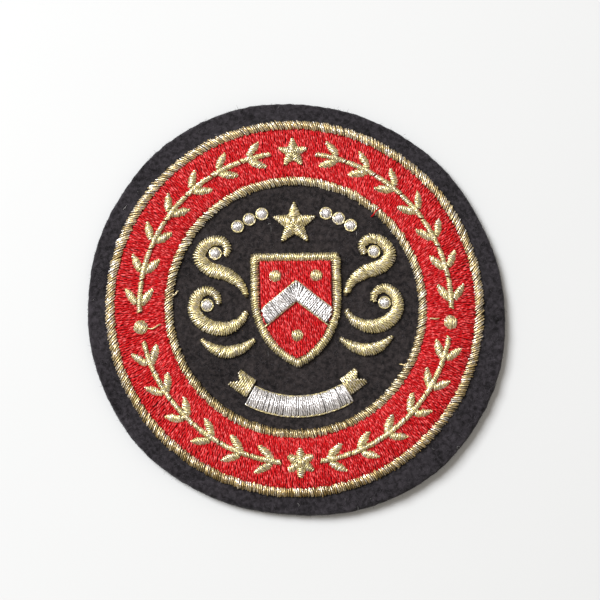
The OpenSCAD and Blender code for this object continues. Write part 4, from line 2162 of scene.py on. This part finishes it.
@dataclass(frozen=True)
class Tail:
    """A cut thread end that lies on the stitching.

    Both ends are given as a radius and as degrees clockwise from the top, and heights are theirs.
    Bow is how far the middle swings to the right of the straight line, and second a further swing as
    a share of that. Hop is how high the thread arches between its ends, and fuller as round is less.
    """

    start: tuple[float, float]
    end: tuple[float, float]
    bow: float
    hop: float
    heights: tuple[float, float]
    second: float = 0.45
    round: float = 0.8

    def line(self, steps: int) -> Array:
        """The thread's middle line.

        Args:
            steps: How many pieces it is cut into.

        Returns:
            Its points, shape (steps + 1, 3).
        """
        start, end = (polar(radius, 90 - clock) for radius, clock in (self.start, self.end))
        share = np.linspace(0, 1, steps + 1)
        side = turned(unit(end - start), -90)
        swing = self.bow * (np.sin(share * math.pi) + self.second * np.sin(share * 2 * math.pi))
        flat = start + (end - start) * share[:, None] + side * swing[:, None]
        arch = self.hop * np.sin(share * math.pi) ** self.round
        return np.c_[flat, np.interp(share, [0, 1], self.heights) + arch]


@dataclass
class Tails:
    """The loose ends of one colour of thread."""

    name: str
    finish: ThreadFinish
    tails: Sequence[Tail]
    width: float = 0.32 * MM
    flat: float = 0.85
    steps: int = 14

    def build(self) -> bpy.types.Object:
        """Lays the ends.

        Returns:
            The ends as one piece.
        """
        paths = np.array([tail.line(self.steps) for tail in self.tails])
        threads = single(paths, self.width, self.flat, draws(self.name))
        return place(threads.mesh(self.name, [self.finish.material()]), self.finish.slot)


FELT_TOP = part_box("band")[0].z
FILL_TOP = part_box("band")[1].z
RING_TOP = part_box("outer_ring")[1].z
GOLD_TAILS = (
    Tail((28.67 * MM, 262.3), (26.05 * MM, 263.1), 0.3 * MM, 0.3 * MM, (FILL_TOP, FILL_TOP + 0.15 * MM)),
    Tail((27.6 * MM, 95.75), (25.65 * MM, 96.4), -0.12 * MM, 0.25 * MM, (FILL_TOP, FILL_TOP + 0.1 * MM)),
    Tail((23.8 * MM, 276.0), (22.7 * MM, 278.5), 0.2 * MM, 0.2 * MM, (RING_TOP - 0.5 * MM, FELT_TOP)),
    Tail((23.7 * MM, 119.0), (22.6 * MM, 120.5), -0.15 * MM, 0.15 * MM, (RING_TOP - 0.6 * MM, FELT_TOP)),
)
RED_TAILS = (
    Tail((25.3 * MM, 42.0), (22.8 * MM, 41.0), 0.2 * MM, 0.45 * MM, (FILL_TOP, FELT_TOP + 0.1 * MM)),
)


@dataclass(frozen=True)
class Lamp:
    """One soft square lamp that faces the patch.

    Azimuth is its bearing, anticlockwise from +X, and height its angle above the table. Size is the
    side of its square in metres, and power is in watts.
    """

    name: str
    azimuth: float
    height: float
    size: float
    power: float
    tint: Colour
    distance: float = 1.5

    def hang(self) -> None:
        """Hangs the lamp."""
        light = bpy.data.lights.new(self.name, "AREA")
        light.size = self.size
        light.energy = self.power
        light.color = self.tint
        flat = polar(math.cos(math.radians(self.height)), self.azimuth)
        spot = Vector((*flat, math.sin(math.radians(self.height)))) * self.distance
        turn = spot.to_track_quat("Z", "Y").to_matrix().to_4x4()
        linked(self.name, light).matrix_world = Matrix.Translation(spot) @ turn


@dataclass
class Studio:
    """The table, the lights and the camera, as the photograph has them.

    Half view is half of the picture's width, focal the lens's length and middle the place of the
    part's origin, all in pixels. Distance is from the camera to the origin. Tilt is how far it
    leans from straight above, bearing to which side, and roll how far the picture is turned.
    """

    half_view: float = 300.0
    focal: float = 1562.0
    distance: float = 301 * MM
    tilt: float = 8.7
    bearing: float = -32.5
    roll: float = 1.5
    middle: tuple[float, float] = (295.5, 307.7)
    table_size: float = 1.2
    table_drop: float = 0.03 * MM
    table_shades: tuple[Colour, Colour] = ((0.635, 0.642, 0.642), (0.655, 0.66, 0.66))
    sky: Colour = (1.02, 0.95, 0.86)
    sky_strength: float = 0.42
    lamps: Sequence[Lamp] = (Lamp("window", 146.0, 48.0, 0.75, 32.8, (0.98, 0.998, 1.025)),)

    def camera(self) -> None:
        """Aims the camera so that the part's origin falls where the photograph shows it."""
        tilt = math.radians(self.tilt)
        back = Vector((*polar(math.sin(tilt), self.bearing - 90), math.cos(tilt)))
        roll = math.radians(self.roll)
        upright = Vector((math.sin(roll), math.cos(roll), 0))
        right = upright.cross(back).normalized()
        above = back.cross(right)
        scale = self.distance / self.focal
        aim = right * (self.half_view - self.middle[0]) * scale
        aim += above * (self.middle[1] - self.half_view) * scale
        spot = back * self.distance
        facing = (spot - aim).normalized()
        right = upright.cross(facing).normalized()
        above = facing.cross(right)
        turn = Matrix((right, above, facing)).transposed()
        lens = bpy.data.cameras.new("camera")
        lens.angle = 2 * math.atan(self.half_view / self.focal)
        lens.clip_start = 0.01
        camera = linked("camera", lens)
        camera.matrix_world = Matrix.Translation(spot) @ turn.to_4x4()
        bpy.context.scene.camera = camera

    def table(self) -> None:
        """Lays the pale table under the patch."""
        grid = bmesh.new()
        bmesh.ops.create_grid(grid, x_segments=1, y_segments=1, size=self.table_size)
        bmesh.ops.translate(grid, verts=grid.verts, vec=(0, 0, -self.table_drop))
        mesh = bpy.data.meshes.new("table")
        grid.to_mesh(mesh)
        grid.free()
        made, recipe = Recipe.material("pale_table")
        cloud = recipe.noise(recipe.add("TexCoord").outputs["Object"], 2.0, 12.0)
        base = recipe.mix(cloud, *(rgba(shade) for shade in self.table_shades))
        recipe.surface({"Base Color": base, "Roughness": 0.75})
        mesh.materials.append(made)
        table = linked("table", mesh)

    def light(self) -> None:
        """Sets the sky and hangs the lamps."""
        world = bpy.data.worlds.new("studio")
        world.use_nodes = True
        sky = world.node_tree.nodes["Background"]
        sky.inputs["Color"].default_value = rgba(self.sky)
        sky.inputs["Strength"].default_value = self.sky_strength
        bpy.context.scene.world = world
        for lamp in self.lamps:
            lamp.hang()
        bpy.context.scene.view_settings.view_transform = "Standard"

    def build(self) -> None:
        """Sets up the camera, the table and the lights."""
        self.camera()
        self.table()
        self.light()


def stitching() -> list[Embroidery]:
    """Lists every piece of stitching.

    Returns:
        The pieces, from the felt upwards.
    """
    ring_hand = Hand(
        width=0.31 * MM,
        flat=0.62,
        stray=0.1 * MM,
        sway=0.03 * MM,
        sunk=-0.13 * MM,
        heave=0.05 * MM,
        uneven=0.14,
    )
    fill_hand = Hand(
        width=0.46 * MM,
        flat=0.62,
        sides=5,
        steps=7,
        stray=0.06 * MM,
        sway=0.055 * MM,
        sunk=0.02 * MM,
        wave=0.085 * MM,
        wavelength=1.5 * MM,
        landing=Landing.THROUGH,
    )
    silver_hand = Hand(width=0.38 * MM, sway=0.05 * MM, heave=0.035 * MM, uneven=0.14)
    dot_hand = Hand(width=0.35 * MM)
    pieces: list[Embroidery] = [
        Band("band", RED, fill_hand),
        Ring("outer_ring", SHADED_GOLD, ring_hand, shrink=0.18 * MM),
        Ring("inner_ring", PALE_GOLD, ring_hand, shrink=0.18 * MM),
        Star("band_star", GOLD),
        Rosette("band_rosette", GOLD),
        Dot("stud_left", GOLD, dot_hand, heading=60.0),
        Dot("stud_right", GOLD, dot_hand, heading=84.0),
    ]
    pieces += [Sprig(node, GOLD, Hand(steps=7)) for node in sorted(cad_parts) if "sprig" in node]
    pieces += [
        ShieldField("shield_field", RED, fill_hand),
        ShieldBorder("shield_border", GOLD),
        Chevron("chevron", SILVER, silver_hand),
        Dot("charge_left", GOLD, dot_hand),
        Dot("charge_right", GOLD, dot_hand),
        Dot("charge_base", GOLD, dot_hand),
        Star("crest_star", GOLD),
        Ribbon("ribbon", SILVER, silver_hand),
        Ribbon("ribbon_tails", GOLD),
    ]
    for left, side in ((True, "left"), (False, "right")):
        pieces.append(curl(f"scroll_upper_{side}", left, (0.4, 0.9)))
        pieces.append(curl(f"scroll_lower_{side}", left, (0.56, -0.83)))
        pieces.append(curl(f"plume_{side}", left, (0.8, -0.6)))
    pearls = sorted(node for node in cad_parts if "pearl" in node)
    pieces += [Dot(node, SILVER, dot_hand, heading=96.0) for node in pearls]
    return pieces


def main() -> None:
    """Builds the felt, the stitching and the studio, and reports each piece."""
    Studio().build()
    felt = Felt()
    felt.build()
    Nap(felt).build()
    for piece in stitching():
        piece.build()
    Couching().build()
    Tails("gold_tails", PALE_GOLD, GOLD_TAILS).build()
    Tails("red_tails", RED, RED_TAILS).build()


if __name__ == "__main__":
    logging.basicConfig(level=logging.INFO, format="%(message)s")
    main()
